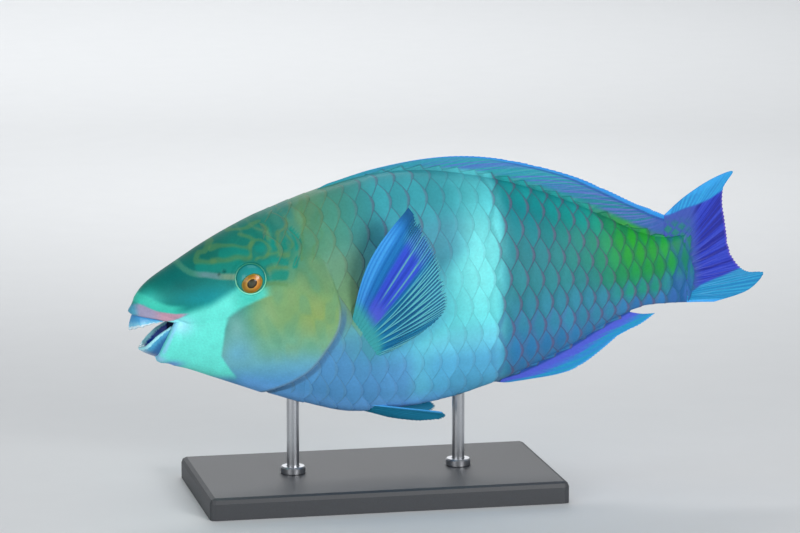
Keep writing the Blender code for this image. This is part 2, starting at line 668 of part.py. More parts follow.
def make_stand(parts, cutters):
    """Make the flat base and the two rods that reach up to the belly."""
    paint = new_material("stand base", (0.05, 0.05, 0.055), 0.4)
    steel = new_material("stand rod", (0.55, 0.56, 0.58), 0.3, 1.0)
    bm = bmesh.new()
    bmesh.ops.create_cube(bm, size=1.0)
    size = Matrix.Diagonal((BASE_LENGTH, BASE_WIDTH, BASE_HEIGHT, 1.0))
    bmesh.ops.transform(bm, verts=bm.verts, matrix=Matrix.Translation((BASE_X, 0, BASE_HEIGHT / 2)) @ size)
    top = [edge for edge in bm.edges if max(vert.co.z for vert in edge.verts) > BASE_HEIGHT / 2]
    bmesh.ops.bevel(bm, geom=top, offset=BASE_BEVEL, segments=2, profile=0.5, affect="EDGES", material=-1)
    new_object("stand_base", mesh_from(bm, "stand_base"), parts, paint)
    swollen = new_cutter("swollen_body_posed", body_mesh("swollen_body_posed", no_lift, GAP), cutters)
    swollen.data.transform(pose_matrix())
    bottom = BASE_HEIGHT + GAP
    for name, x in zip(("stand_rod_front", "stand_rod_rear"), ROD_XS):
        bm = bmesh.new()
        length = FISH_LIFT - bottom
        bmesh.ops.create_cone(
            bm, cap_ends=True, segments=16, radius1=ROD_RADIUS, radius2=ROD_RADIUS, depth=length)
        bmesh.ops.translate(bm, verts=bm.verts, vec=(x, 0, bottom + length / 2))
        rod = new_object(name, mesh_from(bm, name), parts, steel)
        cut(rod, swollen, "DIFFERENCE")
        finish_piece(rod)


def make_fish():
    """Build the whole model."""
    for old in list(bpy.data.objects):
        bpy.data.objects.remove(old)
    parts = new_collection("parrotfish")
    cutters = new_collection("cutters")
    pose = bpy.data.objects.new("pose", None)
    parts.objects.link(pose)
    head, torso, tail = make_body(parts, cutters)
    make_eyes(head, parts, cutters)
    make_nostrils(head, cutters)
    make_beak(head, parts, cutters)
    for piece in (head, torso, tail):
        finish_piece(piece)
    make_midline_fins(parts)
    swollen = new_cutter("swollen_body", body_mesh("swollen_body", no_lift, GAP), cutters)
    make_paired_fins(parts, swollen)
    for piece in list(parts.objects):
        if piece is not pose:
            piece.parent = pose
    for piece in cutters.objects:
        piece.parent = pose
    pose.matrix_world = pose_matrix()
    make_stand(parts, cutters)


make_fish()
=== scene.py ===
import math

import bmesh
import bpy
import numpy as np
from mathutils import Matrix, Vector


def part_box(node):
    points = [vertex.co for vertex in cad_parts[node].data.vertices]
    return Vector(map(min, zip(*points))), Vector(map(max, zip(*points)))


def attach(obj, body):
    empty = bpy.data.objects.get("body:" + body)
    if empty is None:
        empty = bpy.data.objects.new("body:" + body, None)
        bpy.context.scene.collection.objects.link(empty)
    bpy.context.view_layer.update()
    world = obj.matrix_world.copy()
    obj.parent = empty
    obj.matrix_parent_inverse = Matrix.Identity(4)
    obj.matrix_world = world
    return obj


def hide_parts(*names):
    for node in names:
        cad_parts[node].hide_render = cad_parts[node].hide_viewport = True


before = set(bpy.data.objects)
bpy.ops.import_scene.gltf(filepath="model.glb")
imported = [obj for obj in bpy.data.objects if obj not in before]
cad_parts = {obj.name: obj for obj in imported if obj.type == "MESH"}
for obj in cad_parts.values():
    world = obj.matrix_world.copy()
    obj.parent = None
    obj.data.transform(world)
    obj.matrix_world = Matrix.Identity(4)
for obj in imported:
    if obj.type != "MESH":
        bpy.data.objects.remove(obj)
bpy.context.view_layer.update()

# The skin. One cast of head, trunk and tail stalk, hollow at the mouth, that the scales lie on.
# Sections run from the lips to the end of the stalk; lips, gill cover and orbits are modelled on it.
MM = 0.001
NOSE_DOWN = math.radians(4.5)
FISH_SHIFT, FISH_LIFT = -0.17844, 0.092
POSE = Matrix.Translation((FISH_SHIFT, 0, FISH_LIFT)) @ Matrix.Rotation(-NOSE_DOWN, 4, "Y")

# top x and z, widest point x and z, bottom x and z, half width
SECTIONS = (
    (-0.0004, 0.0136, 0.0221, 0.0086, 0.0108, -0.0117, 0.0108),    # rim of the lips
    (-0.0005, 0.0164, 0.0252, 0.0078, 0.0140, -0.0156, 0.0123),    # outside of the lips
    (0.0027, 0.0226, 0.0302, 0.0069, 0.0205, -0.0180, 0.0142),
    (0.0104, 0.0303, 0.0374, 0.0068, 0.0285, -0.0208, 0.0167),
    (0.0262, 0.0393, 0.0475, 0.0078, 0.0400, -0.0261, 0.0200),     # nostrils
    (0.0466, 0.0498, 0.0605, 0.0096, 0.0547, -0.0326, 0.0232),     # eye
    (0.0690, 0.0592, 0.0755, 0.0112, 0.0735, -0.0404, 0.0260),
    (0.0910, 0.0664, 0.0930, 0.0124, 0.0925, -0.0482, 0.0283),     # nape and cheek
    (0.1150, 0.0722, 0.1150, 0.0130, 0.1150, -0.0555, 0.0298),     # edge of the gill cover
    (0.1410, 0.0762, 0.1410, 0.0132, 0.1410, -0.0570, 0.0301),     # deepest part
    (0.1680, 0.0750, 0.1680, 0.0125, 0.1680, -0.0553, 0.0288),
    (0.1950, 0.0694, 0.1950, 0.0113, 0.1950, -0.0503, 0.0258),
    (0.2215, 0.0610, 0.2215, 0.0100, 0.2215, -0.0421, 0.0217),
    (0.2470, 0.0497, 0.2470, 0.0086, 0.2470, -0.0325, 0.0169),
    (0.2690, 0.0380, 0.2690, 0.0070, 0.2690, -0.0222, 0.0126),
    (0.2870, 0.0275, 0.2870, 0.0050, 0.2870, -0.0168, 0.0090),
    (0.3020, 0.0224, 0.3020, 0.0033, 0.3020, -0.0167, 0.0060),
    (0.3160, 0.0222, 0.3160, 0.0022, 0.3160, -0.0178, 0.0032),     # end of the tail stalk
)
LAST = len(SECTIONS) - 1
FULLNESS = 0.9
MOUTH_CENTRE = np.array((0.0150, 0.0, 0.0010))
# how wide the mouth still is, and how far back
MOUTH = ((1.0, 0.0), (0.86, 0.0016), (0.80, 0.0060), (0.62, 0.0110), (0.30, 0.0145))
LIP_HEIGHT, LIP_GROOVE = 0.0008, 0.0005
LIP_SPAN, GROOVE_SPAN = 1.1, 0.9
GILL_EDGE = (
    (0.0955, 0.0560), (0.0985, 0.0480), (0.1055, 0.0320), (0.1098, 0.0170), (0.1112, 0.0060),
    (0.1090, -0.0040), (0.1015, -0.0152), (0.0925, -0.0255), (0.0820, -0.0320), (0.0700, -0.0370),
    (0.0600, -0.0420),
)
GILL_LIFT, GILL_REACH, GILL_SLIT = 0.0008, 0.022, 0.0009
NOSTRILS = ((0.0475, 0.0330, 0.0009), (0.0505, 0.0345, 0.0011))    # x, z and radius
NOSTRIL_DEPTH, NOSTRIL_RIM = 0.0012, 0.00016
EYE_X, EYE_Z = 0.0640, 0.0294
EYE_RADIUS, EYE_DEPTH, EYE_SINK = 0.0083, 0.0051, 0.0021
SOCKET_DEPTH, ORBIT_LIFT, ORBIT_WIDTH = 0.0040, 0.0006, 0.0012
COAT_BED = 0.00045               # how far the skin lies below the finished surface under the scales
HEAD_STEP, BODY_STEP, HEAD_END = 0.00066, 0.0017, 0.118    # distances between columns, and where they change
MOUTH_COLUMNS, SKIN_ROWS = 15, 321


def through(rows, place):
    """Rows at places along a smooth curve through the given rows."""
    rows = np.asarray(rows, float)
    place = np.asarray(place, float)
    start = np.clip(place.astype(int), 0, len(rows) - 2)
    before, near = rows[np.maximum(start - 1, 0)], rows[start]
    far, after = rows[start + 1], rows[np.minimum(start + 2, len(rows) - 1)]
    t = (place - start)[..., None]
    slope_near, slope_far = (far - before) / 2, (after - near) / 2
    bend = 3 * (far - near) - 2 * slope_near - slope_far
    twist = 2 * (near - far) + slope_near + slope_far
    return near + t * (slope_near + t * (bend + t * twist))


def soft(value, start, end):
    """0 up to start, 1 from end on, and smooth between; start may be the larger."""
    t = np.clip((value - start) / (end - start), 0, 1)
    return t * t * (3 - 2 * t)


def bare_point(place, angle):
    """The bare surface, angle 90 at the back and 0 on the left side; places below 0 run into the mouth."""
    rows = through(SECTIONS, np.maximum(place, 0))
    top_x, top_z, side_x, side_z, low_x, low_z, half_width = np.moveaxis(rows, -1, 0)
    rise, out = np.sin(np.radians(angle)), np.cos(np.radians(angle))
    end_x, end_z = np.where(rise > 0, top_x, low_x), np.where(rise > 0, top_z, low_z)
    x = side_x + (end_x - side_x) * abs(rise)
    z = side_z + (end_z - side_z) * abs(rise)
    y = -np.sign(out) * abs(out) ** FULLNESS * half_width
    point = np.stack((x, y, z), -1)
    shrink, back = np.moveaxis(through(MOUTH, np.clip(-place, 0, len(MOUTH) - 1)), -1, 0)
    closed = MOUTH_CENTRE + (point - MOUTH_CENTRE) * shrink[..., None]
    closed[..., 0] += back
    return closed


def bare_normal(place, angle):
    """Outward directions of the bare surface."""
    step, turn = 0.05, 2.0
    ahead = bare_point(np.minimum(place + step, LAST), angle) - bare_point(np.maximum(place - step, 0), angle)
    around = bare_point(place, angle + turn) - bare_point(place, angle - turn)
    return unit(np.cross(ahead, around))


def unit(ways):
    """The same directions, each with a length of 1."""
    return ways / np.linalg.norm(ways, axis=-1, keepdims=True)


def hump(share):
    """0 at both ends of the range 0 to 1, and 1 in its middle."""
    return np.sin(math.pi * np.clip(share, 0, 1))


def line_gap(x, z, line):
    """Distance in side view to a line of points, above 0 on its left as the line runs."""
    least = np.full(np.shape(x), 1e9)
    sign = np.ones(np.shape(x))
    for (ax, az), (bx, bz) in zip(line[:-1], line[1:]):
        dx, dz = bx - ax, bz - az
        share = np.clip(((x - ax) * dx + (z - az) * dz) / (dx * dx + dz * dz), 0, 1)
        gap = np.hypot(x - ax - share * dx, z - az - share * dz)
        side = np.sign(dx * (z - az) - dz * (x - ax))
        sign = np.where(gap < least, side, sign)
        least = np.minimum(gap, least)
    return least * sign


def curve(line, steps=24):
    """Points along a smooth curve through a few given ones."""
    return through(line, np.linspace(0, len(line) - 1, steps))


def skin_spot(x, z):
    """Place and angle of the left side's surface at x and z."""
    place, angle = 8.0, 0.0
    reach, turn = 8.0, 80.0
    tries = np.linspace(-1, 1, 9)
    while turn > 0.02:
        places, angles = np.meshgrid(place + reach * tries, angle + turn * tries)
        places, angles = np.clip(places, 0, LAST), np.clip(angles, -89, 89)
        spots = bare_point(places, angles)
        best = np.argmin(np.hypot(spots[..., 0] - x, spots[..., 2] - z))
        place, angle = places.flat[best], angles.flat[best]
        reach, turn = reach * 0.6, turn * 0.6
    return np.array(place), np.array(angle)


gill_curve = curve(GILL_EDGE, 60)


def eye_frame():
    """Where the left eye's middle lies, and its three directions: to the tail, up and out."""
    place, angle = skin_spot(EYE_X, EYE_Z)
    out = bare_normal(place, angle)
    back = unit(np.cross((0.0, 0.0, 1.0), out))
    return bare_point(place, angle) - out * EYE_SINK, np.array((back, np.cross(out, back), out))


eye_middle, eye_axes = eye_frame()


def relief(point, place):
    """How far lips, gill cover, orbits and the scales' bed stand off the bare surface."""
    lip = LIP_HEIGHT * hump(place / LIP_SPAN)
    groove = LIP_GROOVE * hump((place - LIP_SPAN) / GROOVE_SPAN)
    x, height = point[:, 0], point[:, 2]
    gap = -line_gap(x, height, gill_curve)
    ahead = soft(gap, -0.0002, 0.0007) * soft(height, 0.040, 0.018)
    cover = ahead * GILL_LIFT * np.clip(1 - abs(gap) / GILL_REACH, 0, 1) ** 2
    slit = GILL_SLIT * soft(gap, 0.0002, -0.0006) * soft(gap, -0.0030, -0.0010) * soft(height, 0.030, 0.012)
    left = point.copy()
    left[:, 1] = -abs(left[:, 1])
    across, up, out = ((left - eye_middle) @ eye_axes.T).T
    ring = np.hypot(across, up)
    near_eye = soft(out, -0.010, -0.006)
    socket = SOCKET_DEPTH * soft(ring, EYE_RADIUS + 0.0002, EYE_RADIUS - 0.0006) * near_eye
    rim = ORBIT_LIFT * np.exp(-((ring - EYE_RADIUS - 0.0014) / ORBIT_WIDTH) ** 2) * near_eye
    over_cover = soft(height, 0.030, 0.040) * soft(x, 0.070, 0.085)
    bed = COAT_BED * np.maximum(soft(gap, 0.0, -0.0015) * (x > 0.09), over_cover)
    return (lip - groove + cover - slit - socket + rim - bed + nostrils(point)[0]) * (place >= 0)


def nostrils(point):
    """The two small holes before each eye: height, raised at the rim and sunk within, and painted shade."""
    height, dark = 0.0, 0.0
    for x, z, radius in NOSTRILS:
        ring = np.hypot(point[:, 0] - x, point[:, 2] - z) / radius
        height = height - NOSTRIL_DEPTH * soft(ring, 1.0, 0.4)
        height = height + NOSTRIL_RIM * np.exp(-((ring - 1.3) / 0.35) ** 2)
        dark = np.maximum(dark, soft(ring, 1.15, 0.6))
    return height, dark


def skin_columns():
    """Places along the body, set closer over the head."""
    fine = np.linspace(0, LAST, 2001)
    side, back = bare_point(fine, 0 * fine)[:, 0], bare_point(fine, 90 + 0 * fine)[:, 0]
    length = (side - side[0] + back - back[0]) / 2
    head = length[np.argmin(abs(side - HEAD_END))]
    marks = (np.arange(0, head, HEAD_STEP), np.arange(head, length[-1], BODY_STEP), length[-1:])
    body = np.interp(np.concatenate(marks), length, fine)
    mouth = np.linspace(1 - len(MOUTH), 0, MOUTH_COLUMNS)[:-1]
    return np.concatenate((mouth, body))


def new_mesh(bm, name):
    """A mesh from a bmesh, which is freed."""
    mesh = bpy.data.meshes.new(name)
    bm.to_mesh(mesh)
    bm.free()
    return mesh


def corners(mesh):
    """The mesh's points, one row each."""
    points = np.empty(len(mesh.vertices) * 3, np.float32)
    mesh.vertices.foreach_get("co", points)
    return points.reshape(-1, 3).astype(float)


def set_corners(mesh, points):
    """Move the mesh's points."""
    mesh.vertices.foreach_set("co", np.ascontiguousarray(points, np.float32).ravel())
    mesh.update()


def store(mesh, name, values):
    """Keep numbers, directions or colours on the mesh's points for its paint to read."""
    width = values.shape[1] if values.ndim > 1 else 1
    kind, field = {1: ("FLOAT", "value"), 3: ("FLOAT_VECTOR", "vector"), 4: ("FLOAT_COLOR", "color")}[width]
    layer = mesh.attributes.new(name, kind, "POINT")
    layer.data.foreach_set(field, np.ascontiguousarray(values, np.float32).ravel())


def set_map(mesh, name, spots):
    """Lay a flat map on the mesh, given each point's spot in it."""
    layer = mesh.uv_layers.get(name) or mesh.uv_layers.new(name=name)
    owner = np.empty(len(mesh.loops), np.int32)
    mesh.loops.foreach_get("vertex_index", owner)
    layer.data.foreach_set("uv", np.ascontiguousarray(spots[owner], np.float32).ravel())


def unrolled(place, turned):
    """Spots in the flat map of the body's surface, given how far round from below they are, in degrees."""
    return np.stack(((place + len(MOUTH) - 1) / (LAST + len(MOUTH) - 1), turned / 360), -1)


def close_up(mesh, distance=1e-6):
    """Weld the seams, drop what they leave flat and face everything outwards."""
    bm = bmesh.new()
    bm.from_mesh(mesh)
    bmesh.ops.remove_doubles(bm, verts=bm.verts, dist=distance)
    bmesh.ops.dissolve_degenerate(bm, edges=bm.edges, dist=1e-7)
    bmesh.ops.recalc_face_normals(bm, faces=bm.faces)
    bm.to_mesh(mesh)
    bm.free()


def new_object(name, data):
    """An object of the scene with the given mesh, lamp or lens."""
    thing = bpy.data.objects.new(name, data)
    bpy.context.scene.collection.objects.link(thing)
    return thing


def place_piece(name, mesh, material):
    """Set a finished mesh in its pose over the stand and show it as a piece."""
    mesh.transform(POSE)
    mesh.materials.append(material)
    mesh.shade_smooth()
    return new_object(name, mesh)


# The paint. Airbrushed coats over a teal base, painted highlights and shade among them, kept as one rule
# of place on the body, in millimetres from the lips and over the middle, for skin, scales and fins' roots
# alike.
def shade(red, green, blue):
    """A paint's colour from its mixing numbers, 0 to 255."""
    return np.array((red, green, blue)) / 255


def as_light(colour):
    """Mixed paint as the linear numbers that the shaders read, with a fourth for opacity."""
    linear = np.where(colour <= 0.04045, colour / 12.92, ((np.clip(colour, 0, 1) + 0.055) / 1.055) ** 2.4)
    return np.concatenate((linear, np.ones((*linear.shape[:-1], 1))), -1)


def mottle(points, size, seed):
    """Soft random blotches, about -1 to 1, of the given size."""
    draw = np.random.default_rng(seed)
    total = np.zeros(len(points))
    for _ in range(9):
        way = draw.normal(size=3)
        way /= np.linalg.norm(way)
        total += np.sin(points @ way * (2 * math.pi / size) * draw.uniform(0.7, 1.4) + draw.uniform(0, 6.28))
    return total / 3.0


AQUA_BACK = (                    # height, then how far back the aqua chin reaches
    (-26, 53.0), (-22.7, 50.7), (-17.4, 47.5), (-12.4, 45.0), (-6.0, 46.3), (2.4, 47.9), (8.9, 50.0),
    (14.0, 56.8), (17.0, 64.0), (19.7, 73.0),
)
AQUA_TOP = ((10, 11.0), (21, 11.5), (27.6, 12.8), (33, 14.5), (41, 16.5), (46, 19.0), (52, 22.0), (57, 24.5))
LIP_TOP = (
    (-3, 17.5), (3, 19.4), (6.2, 18.9), (10.4, 16.4), (14.8, 14.5), (22.8, 12.9), (30, 12.9), (36, 13.5),
)
LIP_FOOT = ((-3, 12.5), (16, 9.0), (21.5, 9.4), (26, 11.2), (30, 12.9), (36, 14.0))
# where a painted highlight runs along the rim of the lower lip, x and z
LOWER_LIP_HIGHLIGHT = ((22.0, 7.5), (19.6, 1.2), (16.3, -5.2), (11.0, -12.0))
MINT_LINE = ((2.0, 23.5), (8.0, 20.6), (13.5, 17.4), (20.0, 15.0), (28.0, 14.6))
EYE_STRIPE = (
    (57.0, 31.0), (47.7, 31.8), (41.5, 33.2), (37.1, 33.6), (33.2, 34.6), (29.6, 37.0), (26.5, 40.5),
)
OLIVE_STROKES = (                # half width, then the line
    (2.3, ((64.0, 41.2), (57.9, 40.6), (52.1, 40.2), (45.7, 39.8))),
    (1.4, ((46.5, 39.8), (39.4, 39.3), (37.2, 41.0), (38.8, 43.6), (41.8, 44.8), (44.4, 47.5), (46.4, 49.6))),
    (1.2, ((45.5, 46.5), (51.9, 47.2), (56.6, 47.3), (61.8, 46.4), (65.9, 46.2), (67.6, 48.4), (66.0, 50.3),
           (61.5, 52.0))),
    (1.1, ((66.8, 47.3), (65.5, 43.7), (63.6, 41.0))),
    (0.9, ((68.9, 49.2), (72.2, 49.6), (74.9, 47.4), (75.7, 44.1), (73.8, 41.2), (69.8, 40.4), (67.5, 39.4))),
    (1.0, ((74.3, 41.3), (78.6, 41.6), (82.2, 40.4), (85.5, 39.0))),
    (1.1, ((73.7, 33.2), (78.5, 33.4), (84.0, 34.2))),
    (1.3, ((71.8, 25.3), (76.6, 25.4), (82.0, 25.0))),
    (0.8, ((81.8, 53.0), (81.6, 48.8), (80.3, 45.2), (81.5, 41.8), (85.5, 40.4))),
    (0.8, ((77.4, 47.5), (77.1, 50.4), (76.4, 53.8), (73.8, 56.6))),
    (0.8, ((84.7, 53.6), (86.7, 50.7), (88.6, 46.4), (87.4, 43.8))),
    (0.9, ((97.7, 66.8), (96.4, 61.2), (96.4, 56.7), (95.1, 52.3), (92.9, 47.9), (93.7, 43.2), (92.8, 37.0))),
    (0.9, ((105.5, 64.9), (105.3, 60.5), (103.5, 56.2), (104.9, 51.5), (103.9, 46.9), (100.1, 43.5),
           (98.0, 38.5))),
    (0.8, ((56.0, 54.0), (62.0, 55.5), (68.0, 56.0), (73.0, 58.5))),
)
TEAL_STROKES = (
    (1.9, ((71.5, 36.6), (77.0, 38.0), (84.0, 37.0))),
    (2.2, ((73.5, 29.0), (78.0, 29.6), (83.0, 29.8))),
    (1.7, ((70.0, 44.8), (72.0, 44.6), (72.4, 46.6))),
    (1.4, ((78.0, 44.5), (78.8, 48.0))),
    (1.5, ((84.2, 44.0), (85.0, 47.5))),
    (1.6, ((90.5, 44.0), (90.8, 49.0), (89.8, 53.5))),
    (1.4, ((88.5, 34.0), (90.5, 38.0))),
    (2.6, ((52.0, 43.6), (58.0, 44.2), (62.5, 43.8))),
    (2.4, ((38.0, 36.8), (46.0, 36.4), (54.0, 36.4), (59.0, 37.0))),
)
BACK_LINE = ((195, 69.4), (221.5, 61), (247, 49.7), (269, 38), (287, 27.5))    # ridge of the back, x and z
KEEL = (                         # lowest line of the belly, x and z
    (40, -26), (54.7, -32.6), (73.5, -40.4), (92.5, -48.2), (115, -55.5), (141, -57), (168, -55.3),
    (195, -50.3),
)


def height_at(x, line):
    """Height of a line of points at x."""
    return np.interp(x, *zip(*line))


def brushed(x, z, line, half_width):
    """1 along a brushed line, fading out at its half width."""
    return soft(abs(line_gap(x, z, curve(line))), half_width * 1.25, half_width * 0.55)


def dab(x, z, centre, reach):
    """An airbrushed oval, 1 at its centre and faint at its reach."""
    return np.exp(-((x - centre[0]) / reach[0]) ** 2 - ((z - centre[1]) / reach[1]) ** 2)


def base_coat(colour, like):
    """One colour for as many points as the given row has."""
    return np.tile(shade(*colour), (len(like), 1))


def lay(tint, *coats):
    """Lay coats over the tint in turn: a colour, then masks to multiply, where a tuple is a soft() fade."""
    for colour, *masks in coats:
        amount = math.prod(soft(*mask) if isinstance(mask, tuple) else mask for mask in masks)
        tint = tint + (shade(*colour) - tint) * np.clip(amount, 0, 1)[:, None]
    return tint


def trunk_paint(x, z):
    """Trunk and tail stalk: blue flank, pale band, then green and slate behind it."""
    tint = lay(
        base_coat((66, 156, 176), x),
        ((60, 158, 170), (z, 42, 60)),
        ((92, 188, 214), (z, 26, 4)),
        ((92, 160, 212), (z, -12, -34), (x, 190, 150)),
        ((64, 144, 134), (x, 142, 116), (z, 30, 50)),
        ((100, 150, 122), (x, 138, 114), (z, 52, 34), (z, -6, 8)),
        ((84, 148, 200), (x, 150, 122), (z, -2, -16)),
        ((62, 152, 156), 0.6, dab(x, z, (126, -16), (10, 9))),
    )
    start = 168 + 15 * soft(z, 16, 36) - 14 * soft(z, -4, -20)
    end = 204.5 + 5 * soft(z, 5, 45)
    band = soft(x, start - 10, start + 11) * soft(x, end + 7, end - 7) * (1 - 0.5 * soft(z, 42, 66))
    tint = lay(
        tint,
        ((100, 214, 220), band),
        # Painted highlight: a brighter patch in the middle of the pale band.
        ((124, 230, 231), band, dab(x, z, (190, 18), (14, 26))),
        ((108, 202, 222), band, (z, -4, -20)),
        ((88, 172, 212), band, (z, -16, -32)),
    )
    rear = soft(x, end - 6, end + 7)
    tint = lay(
        tint,
        ((50, 134, 144), rear),
        ((12, 128, 138), rear, (z, 19, 38)),
        ((56, 136, 164), rear, (z, 8, -10)),
        ((48, 122, 174), rear, (z, -12, -28)),
        ((8, 130, 110), (x, 222, 262), (z, 26, 42)),
        ((38, 134, 120), (x, 224, 262), (z, 0, 18), (z, 44, 30)),
    )
    below = height_at(x, BACK_LINE) - z
    return lay(
        tint,
        # Painted light: lighter teal just under the ridge of the rear back, offsetting the shade that falls
        # there.
        ((26, 154, 154), 0.8, rear, (below, 15, 4), (x, 284, 262)),
        ((34, 144, 104), (x, 252, 274), (z, -6, 6)),
        ((26, 148, 62), (x, 266, 286), (z, -1, 9)),
        ((48, 172, 40), 0.6, dab(x, z, (283, 21), (14, 9))),
        ((36, 142, 124), (x, 262, 280), (z, 2, -3), (z, -11, -6)),
        ((52, 120, 178), (x, 262, 284), (z, -6, -11)),
        ((54, 104, 172), (x, 298, 308), (z, 3, -5)),
        ((16, 124, 100), (x, 304, 312), (z, 0, 6)),
        ((30, 80, 144), (x, 314, 323), 1 - 0.6 * soft(z, 3, 9)),
    )


def head_paint(x, z, points):
    """Head: teal forehead and snout, olive cheek, blue throat and the bright aqua chin."""
    tint = lay(
        base_coat((20, 122, 108), x),
        ((64, 138, 128), (x, 68, 96), (z, 40, 54)),
        ((16, 144, 152), dab(x, z, (40, 22), (22, 8))),
        ((2, 108, 104), dab(x, z, (27, 32), (15, 8))),
        ((12, 104, 92), 0.7, dab(x, z, (42, 44), (11, 8))),
        ((62, 200, 186), dab(x, z, (8, 21), (8, 5.5))),
        ((80, 140, 106), (x, 70, 88), (z, 48, 32)),
        ((122, 164, 110), (x, 54, 74), (z, 34, 20)),
        ((94, 144, 104), 0.8, (x, 87, 98), (z, 12, 22)),
        ((112, 174, 146), (z, 6, -10)),
        ((114, 174, 168), dab(x, z, (54, 2), (9, 16))),
        ((104, 173, 194), (z, -8, -22), (x, 112, 92)),
        ((108, 178, 200), dab(x, z, (54, -12), (10, 9))),
        ((92, 160, 213), (z, -18, -32)),
        ((146, 166, 92), 0.65, dab(x, z, (98, 5), (9, 12))),
        ((138, 182, 134), 0.7, dab(x, z, (68, 8), (8, 9))),
    )
    flecks = mottle(points * (1, 1, 0.3), 0.0060, 21)
    cheek = soft(x, 62, 76) * soft(z, -22, -8)
    tint = lay(
        tint,
        ((88, 154, 128), 0.32, cheek, (flecks, 0.1, 0.9)),
        ((140, 164, 110), 0.22, cheek, (flecks, -0.1, -0.9)),
    )
    blur = np.interp(z, (4, 16), (1.0, 3.6))
    aqua_back, aqua_top = height_at(z, AQUA_BACK), height_at(x, AQUA_TOP)
    aqua = soft(x, aqua_back + blur, aqua_back - blur * 0.8) * soft(z, -30, -23)
    aqua *= soft(z, aqua_top + 3.4, aqua_top - 2.8) * (1 - 0.7 * soft(x, 64, 75))
    tint = lay(
        tint,
        ((106, 233, 219), aqua),
        ((74, 203, 186), aqua, (x, 50, 62)),
        # Painted highlight: a near white spot at the corner of the mouth.
        ((164, 240, 255), aqua, dab(x, z, (25, 6), (6, 5))),
        ((112, 160, 222), dab(x, z, (19.5, -16.5), (5.0, 2.2))),
        ((150, 205, 240), dab(x, z, (13.0, -13.0), (2.8, 2.2))),
        ((66, 206, 184), 0.9, brushed(x, z, MINT_LINE, 3.2), (x, 31, 20)),
    )
    top, foot = height_at(x, LIP_TOP), height_at(x, LIP_FOOT)
    lip = soft(z, top + 0.5, top - 0.4) * (soft(z, foot - 0.4, foot + 0.5) * soft(x, 33, 26))
    tint = lay(
        tint,
        ((160, 156, 186), lip),
        ((88, 172, 200), lip, (x, 4.5, 0.5)),
        ((194, 152, 172), lip, (x, 9, 17), (x, 29, 24)),
        # Painted highlight along the rim of the lower lip.
        ((140, 216, 246), brushed(x, z, LOWER_LIP_HIGHLIGHT, 1.1)),
    )
    stripe = 0.8 * brushed(x, z, EYE_STRIPE, 1.7)
    tint = lay(
        tint,
        ((70, 142, 118), stripe),
        ((104, 142, 150), stripe, (x, 33, 40), (x, 52, 46)),
        ((124, 150, 126), stripe, (x, 45, 52)),
    )
    x, z = x + 0.55 * mottle(points, 0.010, 8), z + 0.55 * mottle(points, 0.010, 9)
    for half_width, line in OLIVE_STROKES:
        tint = lay(tint, ((90, 138, 88), 0.62, brushed(x, z, line, half_width)))
    for half_width, line in TEAL_STROKES:
        tint = lay(tint, ((12, 136, 122), 0.75, brushed(x, z, line, half_width)))
    network = np.exp(-(mottle(points, 0.013, 5) / 0.22) ** 2)
    where = soft(x, 66, 78) * soft(z, 44, 54) + soft(x, 22, 40) * soft(z, 48, 54)
    # Painted shade darkens the hollows of the nostrils.
    return lay(tint, ((92, 140, 104), 0.5, network, where), ((10, 60, 60), 0.25, nostrils(points)[1]))


def side_view(points):
    """How far back and how high points are, in millimetres."""
    return points[:, 0] / MM, points[:, 2] / MM


def markings_and_light(points):
    """The paint at points of the body, the same on both sides, painted highlights and shade included."""
    x, z = side_view(points)
    gap = -line_gap(x, z, gill_curve / MM)
    behind = soft(x, 92, 126) * soft(z, 20, 36) + soft(gap, 0.2, -0.4) * soft(z, 44, 30)
    head, trunk = head_paint(x, z, points * (1, 0, 1)), trunk_paint(x, z)
    tint = head + (trunk - head) * np.clip(behind, 0, 1)[:, None]
    tint = lay(tint, ((118, 156, 104), 0.8, dab(x, z, (115, 9), (13, 15)), (gap, 3, 0)))
    keel = height_at(x, KEEL)
    # Painted light: a paler blue along the belly's lowest line, lightened to offset the shade underneath.
    tint = lay(tint, ((114, 180, 244), 0.8, (z, keel + 13, keel + 2), (x, 50, 62), (x, 190, 150)))
    edge = soft(z, 14, 0) * (x < 118)
    tint = lay(
        tint,
        # Painted shade: a dark blue crescent just behind the gill cover's edge, in the slit under it. Then a
        # pale line on the edge itself.
        ((70, 112, 150), 0.85, edge, (abs(gap + 1.3), 2.1, 0.8)),
        ((112, 146, 178), 0.7, edge, (abs(gap - 0.7), 1.3, 0.2)),
    )
    return tint * (1 + 0.012 * mottle(points * (1, 0, 1), 0.009, 11))[:, None]


def new_tree(name, given, made):
    """A shader group with the given inputs and outputs, names and kinds, and its two end nodes."""
    tree = bpy.data.node_groups.new(name, "ShaderNodeTree")
    for way, sockets in (("INPUT", given), ("OUTPUT", made)):
        for socket, kind in sockets:
            tree.interface.new_socket(socket, in_out=way, socket_type=f"NodeSocket{kind}")
    return tree, tree.nodes.new("NodeGroupInput").outputs, tree.nodes.new("NodeGroupOutput").inputs


def add(tree, kind, inputs, **settings):
    """A shader node with its settings. Each input is given a plain value or another node's output."""
    node = tree.nodes.new("ShaderNode" + kind)
    for setting, value in settings.items():
        setattr(node, setting, value)
    for name, value in inputs.items():
        if isinstance(value, bpy.types.NodeSocket):
            tree.links.new(value, node.inputs[name])
        else:
            node.inputs[name].default_value = value
    return node.outputs


